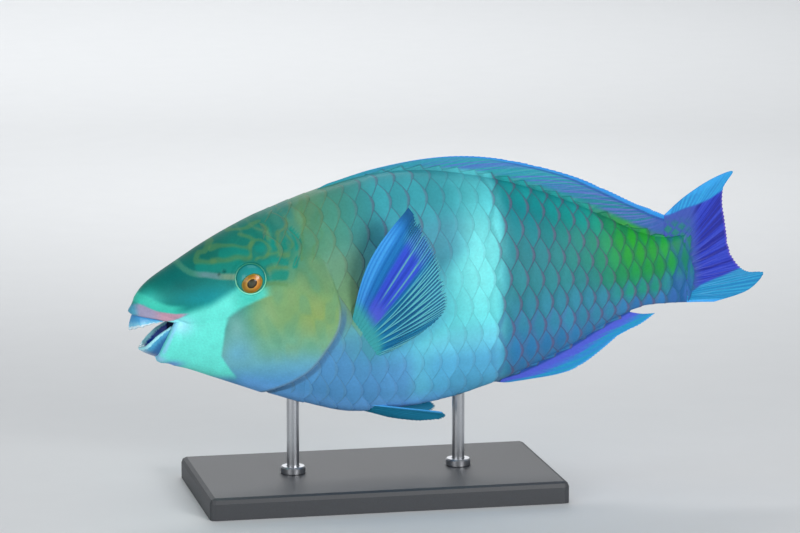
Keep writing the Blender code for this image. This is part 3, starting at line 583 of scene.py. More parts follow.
def paint_noise():
    """Shader group: fine unevenness of paint and skin, as a shade to multiply by and a height for bumps."""
    tree, given, result = new_tree(
        "fine skin", (("Place", "Vector"), ("Size", "Float"), ("Depth", "Float")),
        (("Shade", "Float"), ("Height", "Float")))
    noise = add(tree, "TexNoise", {
        "Vector": given["Place"], "Scale": given["Size"], "Detail": 5.0, "Roughness": 0.6})["Fac"]
    less = add(tree, "Math", {0: 1.0, 1: given["Depth"]}, operation="SUBTRACT")[0]
    more = add(tree, "Math", {0: 1.0, 1: given["Depth"]}, operation="ADD")[0]
    spread = add(tree, "MapRange", {
        "Value": noise, "From Min": 0.25, "From Max": 0.75, "To Min": less, "To Max": more})["Result"]
    tree.links.new(spread, result["Shade"])
    tree.links.new(noise, result["Height"])
    return tree


fine_skin = paint_noise()


def new_material(name, roughness, coat_weight=0.0, coat_roughness=0.1, metallic=0.0, specular=0.5):
    """A material with its shader's plain values set: itself, its node tree and its shader's inputs."""
    material = bpy.data.materials.new(name)
    material.use_nodes = True
    shader = material.node_tree.nodes["Principled BSDF"].inputs
    shader["Specular IOR Level"].default_value = specular
    shader["Roughness"].default_value = roughness
    shader["Metallic"].default_value = metallic
    shader["Coat Weight"].default_value = coat_weight
    shader["Coat Roughness"].default_value = coat_roughness
    return material, material.node_tree, shader


def read(tree, name, output="Color"):
    """The output of a node that reads what a mesh stores under a name."""
    return add(tree, "Attribute", {}, attribute_name=name)[output]


def uneven(tree, colour, size, depth, shader, bump, distance):
    """Multiply a colour by fine unevenness, feed it to the shader and let the same noise raise bumps."""
    place = add(tree, "TexCoord", {})["Object"]
    grain = tree.nodes.new("ShaderNodeGroup")
    grain.node_tree = fine_skin
    grain.inputs["Size"].default_value = size
    grain.inputs["Depth"].default_value = depth
    tree.links.new(place, grain.inputs["Place"])
    product = add(tree, "VectorMath", {0: colour, "Scale": grain.outputs["Shade"]}, operation="SCALE")
    tree.links.new(product["Vector"], shader["Base Color"])
    raised = add(tree, "Bump", {"Strength": bump, "Distance": distance, "Height": grain.outputs["Height"]})
    tree.links.new(raised["Normal"], shader["Normal"])
    return raised["Normal"]


def skin_material():
    """Satin painted skin under thin varnish, finely pebbled."""
    material, tree, shader = new_material("painted skin", 0.48, 0.04, 0.3, specular=0.12)
    uneven(tree, read(tree, "tint"), 900.0, 0.09, shader, 0.35, 0.0003)
    return material


def make_skin():
    """Build the skin as a sheet of columns wrapped round the body, welded below and closed at both ends."""
    places = skin_columns()
    angles = np.linspace(-90, 270, SKIN_ROWS)
    bm = bmesh.new()
    bmesh.ops.create_grid(bm, x_segments=len(places) - 1, y_segments=SKIN_ROWS - 1, size=0.5)
    mesh = new_mesh(bm, "skin")
    place, angle = (grid.ravel() for grid in np.meshgrid(places, angles))
    point = bare_point(place, angle)
    point += bare_normal(np.maximum(place, 0), angle) * relief(point, place)[:, None]
    first, last = place == places[0], place == places[-1]
    point[first] = point[first].mean(axis=0)
    point[last, 1] = 0.0
    set_corners(mesh, point)
    # Into the mouth the skin turns dark blue, then painted shade darkens it nearly to black deep inside.
    tint = lay(markings_and_light(point), ((24, 60, 120), (place, -0.15, -0.8)), ((8, 14, 40), (place, -1.0, -2.6)))
    store(mesh, "tint", as_light(tint))
    set_map(mesh, "unwrap", unrolled(place, angle + 90))
    close_up(mesh)
    return mesh


skin = place_piece("skin", make_skin(), skin_material())
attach(skin, "root")
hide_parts("head", "torso", "tail")


# The scales. Large thin plates in rows along the flank, each rooted in the skin and lying back
# over the next, with a mauve rim at its free edge. They are raised plates, not drawn lines.
GRID_STEP = 4                    # columns from one line of the grid to the next
# how far back the free edges are, how high the middle row is over the widest line, and the rows' spacing
SCALE_GRID = (
    (0.0730, 0.0060, 0.0130), (0.0900, 0.0050, 0.0138), (0.1078, 0.0045, 0.0146), (0.1264, 0.0046, 0.0151),
    (0.1459, 0.0054, 0.0155), (0.1664, 0.0052, 0.0157), (0.1858, 0.0042, 0.0156), (0.2046, 0.0032, 0.0149),
    (0.2238, 0.0007, 0.0136), (0.2418, -0.0008, 0.0120), (0.2586, -0.0028, 0.0105), (0.2752, -0.0018, 0.0102),
    (0.2910, 0.0010, 0.0105), (0.3058, 0.0044, 0.0105), (0.3190, 0.0080, 0.0104),
)
SCALE_LENGTH = 1.75              # in steps, root to free edge
SCALE_SPAN = 0.98                # half height of a plate, in rows
SCALE_SAG, SCALE_TIP = 0.80, 0.25    # how far the free edge falls back, in steps, and its blunt tip, in rows
SCALE_THICK = 0.00018
SCALE_RAISE, SCALE_ROOT = 0.00075, 0.0002    # free edge over root, and root under the skin
SCALE_TILT, SCALE_SHADE = 0.00003, 0.02      # how much plates differ in height and in shade
CLEAR_OF_GILL = 0.0035           # free edges start this far behind the gill cover's edge
NAPE_HEIGHT, NAPE_START = 0.038, 0.074       # and over it from here on
ROWS = range(-6, 7)
PLATE_LONG, PLATE_WIDE = 13, 18  # faces along and across a plate
PATCH = 0.003                    # size of a plate's patch in the map for baking
BACK_SHEATH, BELLY_SHEATH = 0.0032, 0.0020    # how far plates stand up beside the fins' roots
SHEATH_OUT = 0.0014              # how far they stand off the middle plane there
STALK_CLOSING, STALK_HALF = 0.25, 0.0004    # how fast plates behind the stalk close in, and how far
PER_PLACE = 20                   # lines of the table of girths from one section to the next
SIDES = ((-1, "left"), (1, "right"))
RING_TURNS = 150.0               # radians of growth rings along a plate

plate_places = np.linspace(0, LAST, LAST * PER_PLACE + 1)
plate_angles = np.linspace(-90, 90, 181)


def girth_table():
    """Arc lengths up (above 0) and down (below 0) from the widest line, for each place and angle."""
    place, angle = np.meshgrid(plate_places, plate_angles, indexing="ij")
    point = bare_point(place, angle)
    steps = np.linalg.norm(np.diff(point, axis=1), axis=2)
    arc = np.concatenate((np.zeros((len(place), 1)), np.cumsum(steps, axis=1)), axis=1)
    return arc - arc[:, [len(plate_angles) // 2]]


girths = girth_table()
stations = bare_point(plate_places, 0 * plate_places)[:, 0]


def on_flank(station, arc):
    """Places and angles of spots given by how far back they are and how far round from the widest line."""
    place = np.interp(station, stations, plate_places)
    low = np.clip((place * PER_PLACE).astype(int), 0, len(plate_places) - 2)
    share = (place * PER_PLACE - low)[:, None]
    table = girths[low] * (1 - share) + girths[low + 1] * share
    top = np.clip((table < arc[:, None]).sum(axis=1), 1, len(plate_angles) - 1)
    before = np.take_along_axis(table, top[:, None] - 1, 1)[:, 0]
    after = np.take_along_axis(table, top[:, None], 1)[:, 0]
    angle = plate_angles[top - 1] + (arc - before) / (after - before)
    return place, angle


columns = np.arange(-1, GRID_STEP * (len(SCALE_GRID) - 1) + 2)
column_stations, column_middles, column_spacings = through(SCALE_GRID, columns / GRID_STEP).T


def row_height(station, row):
    """How far round from the widest line a row runs at a station."""
    middle = np.interp(station, column_stations, column_middles)
    return middle + row * np.interp(station, column_stations, column_spacings)


def sheaths(station):
    """How far plates may stand past the ridge of the back and past the keel, beside the fins."""
    back = BACK_SHEATH * soft(station, 0.126, 0.165) * soft(station, 0.306, 0.296)
    belly = BELLY_SHEATH * soft(station, 0.196, 0.206) * soft(station, 0.284, 0.274)
    return back, belly


def flank_limits(station):
    """Heights of the ridge of the back and of the keel, round from the widest line."""
    place = np.interp(station, stations, plate_places)
    return np.interp(place, plate_places, girths[:, -1]), np.interp(place, plate_places, girths[:, 0])


def scale_roots():
    """Stations of the free edges, row numbers and steps of all the scales of one side."""
    found = []
    for index in range(1, len(columns) - 1):
        station, step = column_stations[index], column_stations[index + 1] - column_stations[index - 1]
        top, bottom = flank_limits(station)
        over, beneath = sheaths(station)
        for row in ROWS:
            arc = row_height(station, row)
            if (columns[index] + row) % 2 == 0 or not bottom - beneath < arc < top + 0.6 * over:
                continue
            point = bare_point(*on_flank(np.array([station]), np.array([arc])))[0]
            clear = -line_gap(point[0:1], point[2:3], gill_curve)[0] < -CLEAR_OF_GILL
            if clear or point[2] > NAPE_HEIGHT and point[0] > NAPE_START:
                found.append((station, row, step))
    return found


def plate_field(count):
    """A row of flat closed plates, one unit apart, for laying on the body."""
    bm = bmesh.new()
    bmesh.ops.create_grid(bm, x_segments=PLATE_LONG, y_segments=PLATE_WIDE, size=0.5)
    bmesh.ops.solidify(bm, geom=bm.faces, thickness=0.1)
    bmesh.ops.recalc_face_normals(bm, faces=bm.faces)
    mesh = new_mesh(bm, "plate")
    row = new_object("plates", mesh)
    repeat = row.modifiers.new("repeat", "ARRAY")
    repeat.count = count
    repeat.use_relative_offset = False
    repeat.use_constant_offset = True
    repeat.constant_offset_displace = (2, 0, 0)
    bpy.context.view_layer.update()
    result = bpy.data.meshes.new_from_object(row.evaluated_get(bpy.context.evaluated_depsgraph_get()))
    bpy.data.objects.remove(row)
    return result


def plate_half(station, row, across, raised):
    """How much of a row's spacing a plate takes up on each side, cut short by the ridge and the keel."""
    top, bottom = flank_limits(station)
    back, belly = sheaths(station)
    middle, spacing = row_height(station, row), np.interp(station, column_stations, column_spacings)
    room = np.where(across > 0, top + back * raised - middle, middle - bottom + belly * raised)
    return np.clip(room / spacing, 0.04, SCALE_SPAN)


def scale_tint(point, spot, off_row, station, row, step, number):
    """Each scale's paint: the body's paint, partly taken from its middle, and darker margins on the rear
    body.
    """
    first = np.unique(number, return_index=True)[1]
    heart = station[first] - step[first] / 2
    hearts = bare_point(*on_flank(heart, row_height(heart, row[first])))
    in_band = soft(station, 0.130, 0.150) * soft(station, 0.230, 0.214)
    whole = (0.5 * soft(station, 0.100, 0.125) * (1 - 0.9 * in_band))[:, None]
    tint = markings_and_light(point) * (1 - whole) + markings_and_light(hearts)[number] * whole
    x, z = heart[number] / MM, hearts[number, 2] / MM
    off_heart = abs(spot - station + step / 2) / (step / 2) + abs(off_row)
    margin = soft(off_heart, 0.55, 1.0) * soft(x, 196, 208)
    margin *= 0.35 + 0.35 * soft(z, 4, -14) + 0.3 * soft(x, 262, 285)
    colour = lay(
        base_coat((40, 112, 120), x),
        ((74, 118, 166), (z, 2, -18)),
        ((24, 124, 92), (x, 258, 275), (z, -4, 6)),
        ((36, 98, 156), (x, 298, 312)),
    )
    return tint + (colour - tint) * margin[:, None]


def store_rims(mesh, point, from_edge, off_row):
    """Keep on the scales how near their free edge is, how strongly its rim shows and in what colour."""
    x, z = side_view(point)
    rear = soft(x, 196, 206)
    show = 0.15 + 0.50 * rear - 0.05 * rear * soft(off_row, 0.2, 0.4)
    show += 0.36 * soft(z, 12, 36) * soft(x, 182, 160) * soft(x, 116, 136)
    show += 0.20 * soft(x, 126, 112) * soft(z, 0, 14)
    show *= 1 - 0.75 * soft(x, 298, 312)
    tint = lay(
        base_coat((100, 84, 120), x),
        ((78, 80, 112), (off_row, 0.15, 0.45)),
        ((104, 120, 84), (x, 130, 108)),
        ((52, 108, 84), (x, 262, 282), (z, -8, 6)),
        ((16, 88, 104), (x, 296, 308)),
    )
    store(mesh, "rim_gap", from_edge / MM / (0.62 + 0.9 * soft(off_row, 0.42, 0.12)))
    store(mesh, "rim_show", np.clip(show, 0, 1))
    store(mesh, "rim_tint", as_light(tint))


def scale_mesh(name, side, roots, seed):
    """Lay a plate at each root, bent to the flank, with its own small change of height and shade."""
    mesh = plate_field(len(roots))
    flat = corners(mesh)
    number = np.repeat(np.arange(len(roots)), len(flat) // len(roots))
    middle = (flat[:, 2].min() + flat[:, 2].max()) / 2
    under = flat[:, 2] < middle
    along = flat[:, 0] - 2 * number + 0.5
    along = 1 - (1 - along) ** 1.5           # points closer together towards the free edge
    across = flat[:, 1] * 2
    station, row, step = (np.array(values, float)[number] for values in zip(*roots))
    off_row = across * plate_half(station, row, across, 1.0)
    draw = np.random.default_rng(seed)
    length = step * SCALE_LENGTH
    blunt = np.sqrt(off_row ** 2 + SCALE_TIP ** 2) - SCALE_TIP
    edge = -SCALE_SAG * step * blunt / (math.sqrt(1 + SCALE_TIP ** 2) - SCALE_TIP)
    spot = station + edge - (1 - along) * (length + edge)
    off_row = across * plate_half(spot, row, across, 0.3 + 0.7 * along ** 2)
    height = row_height(spot, row + off_row)
    top, bottom = flank_limits(spot)
    back, belly = sheaths(spot)
    over, beneath = np.clip(height - top, 0, back), np.clip(bottom - height, 0, belly)
    place, angle = on_flank(spot, np.clip(height, bottom, top))
    angle = np.clip(angle, -90, 90)
    tilt = draw.normal(0, SCALE_TILT, len(roots))[number]
    rise = np.clip((spot - station + length) / length, 0, 1)
    beside = np.where(angle > 0, back, belly) > 0.0005
    rise *= 1 - 0.8 * soft(abs(angle), 74, 87) * ~beside
    lift = -COAT_BED - SCALE_ROOT + SCALE_RAISE * rise + tilt - SCALE_THICK * under
    point = bare_point(place, angle) + bare_normal(place, angle) * lift[:, None]
    point[:, 1] = -np.maximum(abs(point[:, 1]), (SHEATH_OUT + lift) * beside)
    point[:, 2] += over - beneath
    past = np.clip(spot - stations[-1], 0, None)
    point[:, 0] += past
    point[:, 1] = np.where(past > 0, np.minimum(point[:, 1] + STALK_CLOSING * past, -STALK_HALF), point[:, 1])
    tint = scale_tint(point, spot, off_row, station, row, step, number)
    shades = 1 + draw.normal(0, SCALE_SHADE, len(roots))
    tint *= shades[number][:, None] * (1 + 0.06 * (along - 0.6))[:, None]
    store(mesh, "tint", as_light(tint))
    store_rims(mesh, point, (1 - along) * (length + edge), abs(off_row))
    store(mesh, "along", along)
    if side > 0:
        point[:, 1] *= -1
    set_corners(mesh, point)
    spread = (np.where(along > 0.8, 0.5 + (along - 0.8) * 2.5, along / 1.6) - 0.5, across / 2)
    home_place, home_angle = on_flank(station, row_height(station, row))
    home = unrolled(home_place, np.where(side > 0, 270 - home_angle, home_angle + 90))
    set_map(mesh, "OFBake", home + PATCH * np.stack(spread, -1))
    if side > 0:
        mesh.flip_normals()
    return mesh


def scale_material():
    """Painted scales under varnish: a rim of its own colour and growth rings towards the free edge."""
    material, tree, shader = new_material("painted scales", 0.46, 0.04, 0.3, specular=0.12)
    rim = add(tree, "MapRange", {"Value": read(tree, "rim_gap", "Fac"), "From Min": 1.5, "From Max": 0.55},
              interpolation_type="SMOOTHSTEP")["Result"]
    shown = add(tree, "Math", {0: rim, 1: read(tree, "rim_show", "Fac")}, operation="MULTIPLY")[0]
    rimmed = add(tree, "Mix", {"Factor": shown, "A": read(tree, "tint"), "B": read(tree, "rim_tint")},
                 data_type="RGBA")["Result"]
    pebbled = uneven(tree, rimmed, 700.0, 0.08, shader, 0.25, 0.0002)
    turns = add(tree, "Math", {0: read(tree, "along", "Fac"), 1: RING_TURNS}, operation="MULTIPLY")[0]
    wave = add(tree, "Math", {0: turns}, operation="SINE")[0]
    rings = add(tree, "Bump", {"Strength": 0.12, "Distance": 0.0001, "Height": wave, "Normal": pebbled})
    tree.links.new(rings["Normal"], shader["Normal"])
    return material


scales_paint = scale_material()
all_roots = scale_roots()
for side, side_name in SIDES:
    for part_name, first, last in (("front", 0.0, 0.178), ("rear", 0.178, 1.0)):
        roots = [root for root in all_roots if first <= root[0] < last]
        name = f"scales_{part_name}_{side_name}"
        piece = place_piece(name, scale_mesh(name, side, roots, 20 + len(roots) + side), scales_paint)
        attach(piece, "root")


# The eyes. A painted ball in each orbit: teal above, with a gold and orange iris set low and aslant
# round a dark oval pupil, under clear varnish. A pale ring of skin holds it.
IRIS_CENTRE = (0.0007, -0.0027)
IRIS_LONG, IRIS_SHORT = 0.0061, 0.0048
IRIS_TILT = math.radians(33)
ORBIT_RING, ORBIT_WIRE = 0.0083, 0.00038
IRIS_LIFT, PUPIL_LIFT, PUPIL_SIZE = 0.00022, 0.00030, 0.52
IRIS_STOPS = (                   # pupil, gold ring, amber, olive rim, then the teal of the ball
    (0.0, (84, 88, 80)), (0.16, (74, 76, 64)), (0.222, (40, 32, 8)), (0.252, (66, 50, 8)),
    (0.280, (222, 170, 78)), (0.35, (192, 142, 44)), (0.43, (172, 118, 34)), (0.50, (156, 138, 36)),
    (0.53, (40, 110, 80)), (0.57, (24, 146, 144)),
)
WARM_STOPS = ((0.0, (150, 150, 40)), (0.35, (255, 176, 110)))
ORBIT_STOPS = ((0.0, (140, 242, 214)), (0.35, (110, 205, 165)), (0.7, (70, 160, 135)), (1.0, (26, 140, 112)))
CHEEK_CURVE = 9.0                # of the skin round the eye, one over metres


def eye_point(local, side):
    """Points given square to an eye, as points of the fish."""
    point = eye_middle + local @ eye_axes
    point[:, 1] *= -side
    return point


def eye_mesh(name, side):
    """An eyeball with the iris raised on it and the pupil bulging from the iris."""
    bm = bmesh.new()
    bmesh.ops.create_uvsphere(bm, u_segments=128, v_segments=96, radius=1.0)
    mesh = new_mesh(bm, name)
    local = corners(mesh) * (EYE_RADIUS, EYE_RADIUS, EYE_DEPTH)
    across, up = local[:, 0] - IRIS_CENTRE[0], local[:, 1] - IRIS_CENTRE[1]
    long = (across * math.cos(IRIS_TILT) + up * math.sin(IRIS_TILT)) / IRIS_LONG
    short = (up * math.cos(IRIS_TILT) - across * math.sin(IRIS_TILT)) / IRIS_SHORT
    ring = np.hypot(long, short) + 3 * (local[:, 2] < 0)
    dome = np.sqrt(np.clip(1 - (ring / PUPIL_SIZE) ** 2, 0, 1))
    local[:, 2] += IRIS_LIFT * soft(ring, 1.06, 0.94) + PUPIL_LIFT * dome
    store(mesh, "ring", ring)
    store(mesh, "eye_place", np.stack((local[:, 0], local[:, 1], 0 * ring), -1) / EYE_RADIUS)
    set_corners(mesh, eye_point(local, side))
    if side > 0:
        mesh.flip_normals()
    return mesh


def ramp(tree, source, stops):
    """A smooth colour ramp with the given stops, each a place and a colour."""
    node = tree.nodes.new("ShaderNodeValToRGB")
    node.color_ramp.interpolation = "EASE"
    while len(node.color_ramp.elements) < len(stops):
        node.color_ramp.elements.new(0.5)
    for element, (place, colour) in zip(node.color_ramp.elements, stops):
        element.position = place
        element.color = tuple(as_light(shade(*colour)))
    tree.links.new(source, node.inputs["Fac"])
    return node.outputs["Color"]


def eye_material():
    """Paint of the eye, from the ring number outwards and the place across it."""
    material, tree, shader = new_material("eye", 0.3, 0.35, 0.16, specular=0.25)
    spot = read(tree, "eye_place", "Vector")
    wobble = add(tree, "TexNoise", {"Vector": spot, "Scale": 5.0})["Fac"]
    half = add(tree, "Math", {0: read(tree, "ring", "Fac"), 1: 0.5}, operation="MULTIPLY")[0]
    moved = add(tree, "Math", {0: wobble, 1: 0.05, 2: half}, operation="MULTIPLY_ADD")[0]
    iris = ramp(tree, moved, IRIS_STOPS)
    warm = ramp(tree, add(tree, "SeparateXYZ", {"Vector": spot})["X"], WARM_STOPS)
    inside = add(tree, "MapRange", {"Value": moved, "From Min": 0.51, "From Max": 0.47, "To Max": 0.45})
    warmed = add(tree, "Mix", {"Factor": inside["Result"], "A": iris, "B": warm},
                 data_type="RGBA", blend_type="MULTIPLY")
    tree.links.new(warmed["Result"], shader["Base Color"])
    return material


def turn_round(bm, steps):
    """Turn an outline once round the upright axis and weld where it meets itself."""
    bmesh.ops.spin(bm, geom=bm.edges[:] + bm.verts[:], cent=(0, 0, 0), axis=(0, 0, 1), angle=2 * math.pi,
                   steps=steps, use_merge=True)
    bmesh.ops.remove_doubles(bm, verts=bm.verts, dist=1e-6)


def orbit_mesh(name, side):
    """A thin raised ring of skin round the eye: a wire bent to a circle and laid on the curved cheek."""
    bm = bmesh.new()
    bmesh.ops.create_circle(bm, segments=10, radius=ORBIT_WIRE)
    bmesh.ops.rotate(bm, verts=bm.verts, matrix=Matrix.Rotation(math.pi / 2, 3, "X"))
    bmesh.ops.translate(bm, verts=bm.verts, vec=(ORBIT_RING, 0, 0))
    turn_round(bm, 96)
    mesh = new_mesh(bm, name)
    local = corners(mesh)
    local[:, 2] += EYE_SINK + 0.0001 - 0.5 * np.hypot(local[:, 0], local[:, 1]) ** 2 * CHEEK_CURVE
    store(mesh, "eye_place", local / EYE_RADIUS)
    set_corners(mesh, eye_point(local, side))
    close_up(mesh)
    return mesh


def orbit_material():
    """Pale mint skin of the orbit's rim, greener above and brighter below."""
    material, tree, shader = new_material("orbit rim", 0.35, 0.4, 0.15)
    upwards = add(tree, "SeparateXYZ", {"Vector": read(tree, "eye_place", "Vector")})["Y"]
    height = add(tree, "MapRange", {"Value": upwards, "From Min": -1.0})["Result"]
    uneven(tree, ramp(tree, height, ORBIT_STOPS), 900.0, 0.06, shader, 0.2, 0.0002)
    return material


eye_paint, orbit_paint = eye_material(), orbit_material()
for side, side_name in SIDES:
    eye = place_piece(f"eyeball_{side_name}", eye_mesh(f"eyeball_{side_name}", side), eye_paint)
    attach(eye, "root")
    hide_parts(f"eye_{side_name}")
    orbit = place_piece(f"orbit_rim_{side_name}", orbit_mesh(f"orbit_rim_{side_name}", side), orbit_paint)
    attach(orbit, "root")


# The beak. Two plates of fused teeth, rooted under the lips, blue with a chipped white cutting edge.
# Each is a horseshoe from corner to corner of the mouth, thick at the root and thin at the edge.
UPPER_EDGE = (
    (-0.0022, 0, 0.0046), (0.0034, 0.0074, 0.0066), (0.0095, 0.0094, 0.0080), (0.0165, 0.0095, 0.0086),
)
LOWER_EDGE = (
    (0.0019, 0, -0.0066), (0.0056, 0.0076, -0.0042), (0.0125, 0.0096, 0.0015), (0.0205, 0.0094, 0.0058),
)
GUM_DEPTH, GUM_CORNER_DEPTH, GUM_CORNER = 0.0025, 0.0022, 25
BEAK_THICK, BEAK_EDGE_THICK, BEAK_BULGE = 0.0022, 0.0008, 0.0006
BEAK_CENTRE = np.array((0.0200, 0.0, 0.0020))
BEAK_LONG, BEAK_ROUND = 120, 40  # faces along and round a plate
BEAK_ARC, BEAK_DEEP = 0.02, 0.008    # size of a plate's half as its paint and chips see it


def beak_mesh(name, jaw, edge, chipped, seed):
    """Bend a closed tube along the gum, its section running down the outside and up the inside."""
    bm = bmesh.new()
    bmesh.ops.create_cone(bm, cap_ends=False, segments=BEAK_ROUND, radius1=1.0, radius2=1.0, depth=2.0)
    bm.verts.ensure_lookup_table()
    length = [e for e in bm.edges if abs(e.verts[0].co.z - e.verts[1].co.z) > 1]
    bmesh.ops.subdivide_edges(bm, edges=length, cuts=BEAK_LONG - 1, use_grid_fill=True)
    ends = [e for e in bm.edges if e.is_boundary]
    bmesh.ops.holes_fill(bm, edges=ends, sides=0)
    mesh = new_mesh(bm, name)
    flat = corners(mesh)
    share = flat[:, 2]
    turn = (np.degrees(np.arctan2(flat[:, 1], flat[:, 0])) % 360) / 360
    angle = jaw * (90 - (90 - GUM_CORNER) * abs(share))
    root = bare_point(np.ones(len(share)), angle)
    root[:, 1] = -np.sign(share) * abs(root[:, 1])
    depth = GUM_DEPTH + (GUM_CORNER_DEPTH - GUM_DEPTH) * abs(share)
    root += unit(MOUTH_CENTRE - root) * depth[:, None]
    rim = through(edge, abs(share) * 3)
    rim[:, 1] *= -np.sign(share)
    down = unit(rim - root)
    spots = np.stack((share, share * 0.5, 0 * share), -1) * BEAK_ARC
    chips = mottle(spots, 0.0022, seed) + 0.5 * mottle(spots, 0.0009, seed + 1)
    rim += down * (chips * chipped)[:, None]
    inward = BEAK_CENTRE - (root + rim) / 2
    inward = unit(inward - down * (inward * down).sum(axis=1, keepdims=True))
    outside = turn < 0.5
    way = np.where(outside, turn * 2, (1 - turn) * 2)
    wall = root + (rim - root) * way[:, None]
    bulge = BEAK_BULGE * hump(way)
    thick = BEAK_THICK + (BEAK_EDGE_THICK - BEAK_THICK) * way ** 2
    point = wall + inward * np.where(outside, -bulge, thick)[:, None]
    store(mesh, "way", way)
    store(mesh, "inner", (~outside).astype(float))
    store(mesh, "beak_place", np.stack((share * BEAK_ARC, way * BEAK_DEEP, 0 * share), -1))
    set_corners(mesh, point)
    close_up(mesh, 2e-6)
    return mesh


def beak_material(name, gum, middle, near_edge, edge, inner):
    """Enamel: coloured near the gum, white at the edge, with the worn ends of the small teeth showing."""
    material, tree, shader = new_material(name, 0.28, 0.5, 0.1)
    spot = read(tree, "beak_place", "Vector")
    worn = add(tree, "TexNoise", {"Vector": spot, "Scale": 900.0})["Fac"]
    moved = add(tree, "Math", {0: worn, 1: 0.22, 2: read(tree, "way", "Fac")}, operation="MULTIPLY_ADD")[0]
    outside = ramp(tree, moved, ((0.0, gum), (0.6, middle), (0.93, near_edge), (1.0, edge)))
    inside = ramp(tree, moved, ((0.0, inner), (0.85, inner), (1.0, edge)))
    colour = add(tree, "Mix", {"Factor": read(tree, "inner", "Fac"), "A": outside, "B": inside},
                 data_type="RGBA")
    tree.links.new(colour["Result"], shader["Base Color"])
    teeth = add(tree, "TexVoronoi", {"Vector": spot, "Scale": 1100.0})["Distance"]
    raised = add(tree, "Bump", {"Strength": 0.35, "Distance": 0.0003, "Height": teeth})
    tree.links.new(raised["Normal"], shader["Normal"])
    return material


upper_enamel = beak_material(
    "upper beak", (40, 120, 200), (73, 168, 223), (120, 205, 240), (215, 240, 250), (30, 60, 110))
lower_enamel = beak_material(
    "lower beak", (8, 60, 150), (20, 100, 160), (60, 160, 205), (160, 235, 248), (18, 66, 180))
for node, jaw, edge, chipped, enamel in (
        ("beak_upper", 1, UPPER_EDGE, 0.00018, upper_enamel),
        ("beak_lower", -1, LOWER_EDGE, 0.00005, lower_enamel)):
    plate = place_piece(f"{node}_plate", beak_mesh(f"{node}_plate", jaw, edge, chipped, 34), enamel)
    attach(plate, "root")
    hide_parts(node)


# The fins. Thin sheets of painted resin with the soft rays standing in them, each ray forking twice
# on its way to a slightly ragged edge. They are glued to the body along their roots.
def rays_at(ray, share):
    """How strongly a forked ray stands out, 0 to 1, at a place between rays and a share of the way out."""
    away = abs(ray - np.round(ray))
    first = 0.25 * soft(share, 0.10, 0.55)
    second = 0.125 * soft(share, 0.45, 0.90)
    away = abs(abs(away - first) - second)
    width = 0.11 - 0.05 * share
    return np.exp(-(away / width) ** 2)


def fin_mesh(name, mirrored, rays, rows, per_ray, middle_at, thickness_at, ridge_height, ragged, paint,
             solidity):
    """Bend a flat closed sheet into a fin, thick where its rays run, painted, and mirrored for the right."""
    columns = int((rays - 1) * per_ray)
    bm = bmesh.new()
    bmesh.ops.create_grid(bm, x_segments=columns, y_segments=rows, size=0.5)
    bmesh.ops.solidify(bm, geom=bm.faces, thickness=0.1)
    mesh = new_mesh(bm, name)
    flat = corners(mesh)
    side = np.where(flat[:, 2] > (flat[:, 2].min() + flat[:, 2].max()) / 2, 1.0, -1.0)
    ray, share = (flat[:, 0] + 0.5) * (rays - 1), flat[:, 1] + 0.5
    ridge = rays_at(ray, share)
    nick = mottle(np.stack((ray, 0 * ray, 0 * ray), -1), 0.9, 51)
    reach = share * (1 - ragged(ray) * share ** 3 * ((1 - ridge) * 0.8 + 0.5 * soft(nick, 0.5, 0.9)))
    middle = middle_at(ray, reach)
    step = 1e-3
    lengthwise = middle_at(ray, reach + step) - middle_at(ray, reach - step)
    crosswise = middle_at(np.minimum(ray + step, rays - 1), reach)
    crosswise = crosswise - middle_at(np.maximum(ray - step, 0), reach)
    out = np.cross(crosswise, lengthwise)
    out /= np.maximum(np.linalg.norm(out, axis=1, keepdims=True), 1e-12)
    half = thickness_at(ray, share) / 2 + RIDGE * ridge_height * ridge * (1 - 0.75 * share)
    point = middle + out * (side * half)[:, None]
    store(mesh, "tint", as_light(paint(ray, share, ridge, point)))
    store(mesh, "solidity", solidity(ray, share, ridge))
    if mirrored:
        point[:, 1] *= -1
    set_corners(mesh, point)
    close_up(mesh, 1e-7)
    return mesh


RIDGE = 0.00028                  # height of the strongest ray over its fin
MIDLINE_BOW = 0.06               # of the rays along back and belly, as a share of their length
MIDLINE_SINK, PAIRED_SINK = 0.0012, 0.0025    # how deep the roots are set in the body
DORSAL_RAYS, ANAL_RAYS, PECTORAL_RAYS, PELVIC_RAYS = 19, 12, 14, 6
DORSAL_START, DORSAL_END = 0.1060, 0.3032
DORSAL_EDGE = (
    (0.1200, 0.0740), (0.1410, 0.0783), (0.1700, 0.0808), (0.1960, 0.0794), (0.2220, 0.0735),
    (0.2520, 0.0625), (0.2720, 0.0520), (0.2880, 0.0425), (0.2965, 0.0385), (0.3042, 0.0342),
)
ANAL_START, ANAL_END = 0.1980, 0.2780
ANAL_EDGE = (
    (0.2120, -0.0505), (0.2330, -0.0497), (0.2440, -0.0482), (0.2540, -0.0440), (0.2645, -0.0375),
    (0.2740, -0.0312), (0.2870, -0.0262), (0.2955, -0.0212),
)
CAUDAL_FRONT, CAUDAL_BACK = 0.3021, 0.3138    # roots of its first ray, and of those behind the top rays
CAUDAL_TOP, CAUDAL_BOTTOM, CAUDAL_TOP_RAYS = 0.0198, -0.0170, 3
CAUDAL_EDGE = (
    (0.3043, 0.0341), (0.3165, 0.0430), (0.3325, 0.0512), (0.3455, 0.0545), (0.3400, 0.0465),
    (0.3385, 0.0375), (0.3392, 0.0285), (0.3398, 0.0200), (0.3405, 0.0125), (0.3425, 0.0055),
    (0.3470, -0.0010), (0.3520, -0.0040), (0.3602, -0.0056), (0.3500, -0.0145), (0.3300, -0.0188),
)
PECTORAL_TOP, PECTORAL_BOTTOM = np.array((0.1174, 0.0006)), np.array((0.1285, -0.0226))
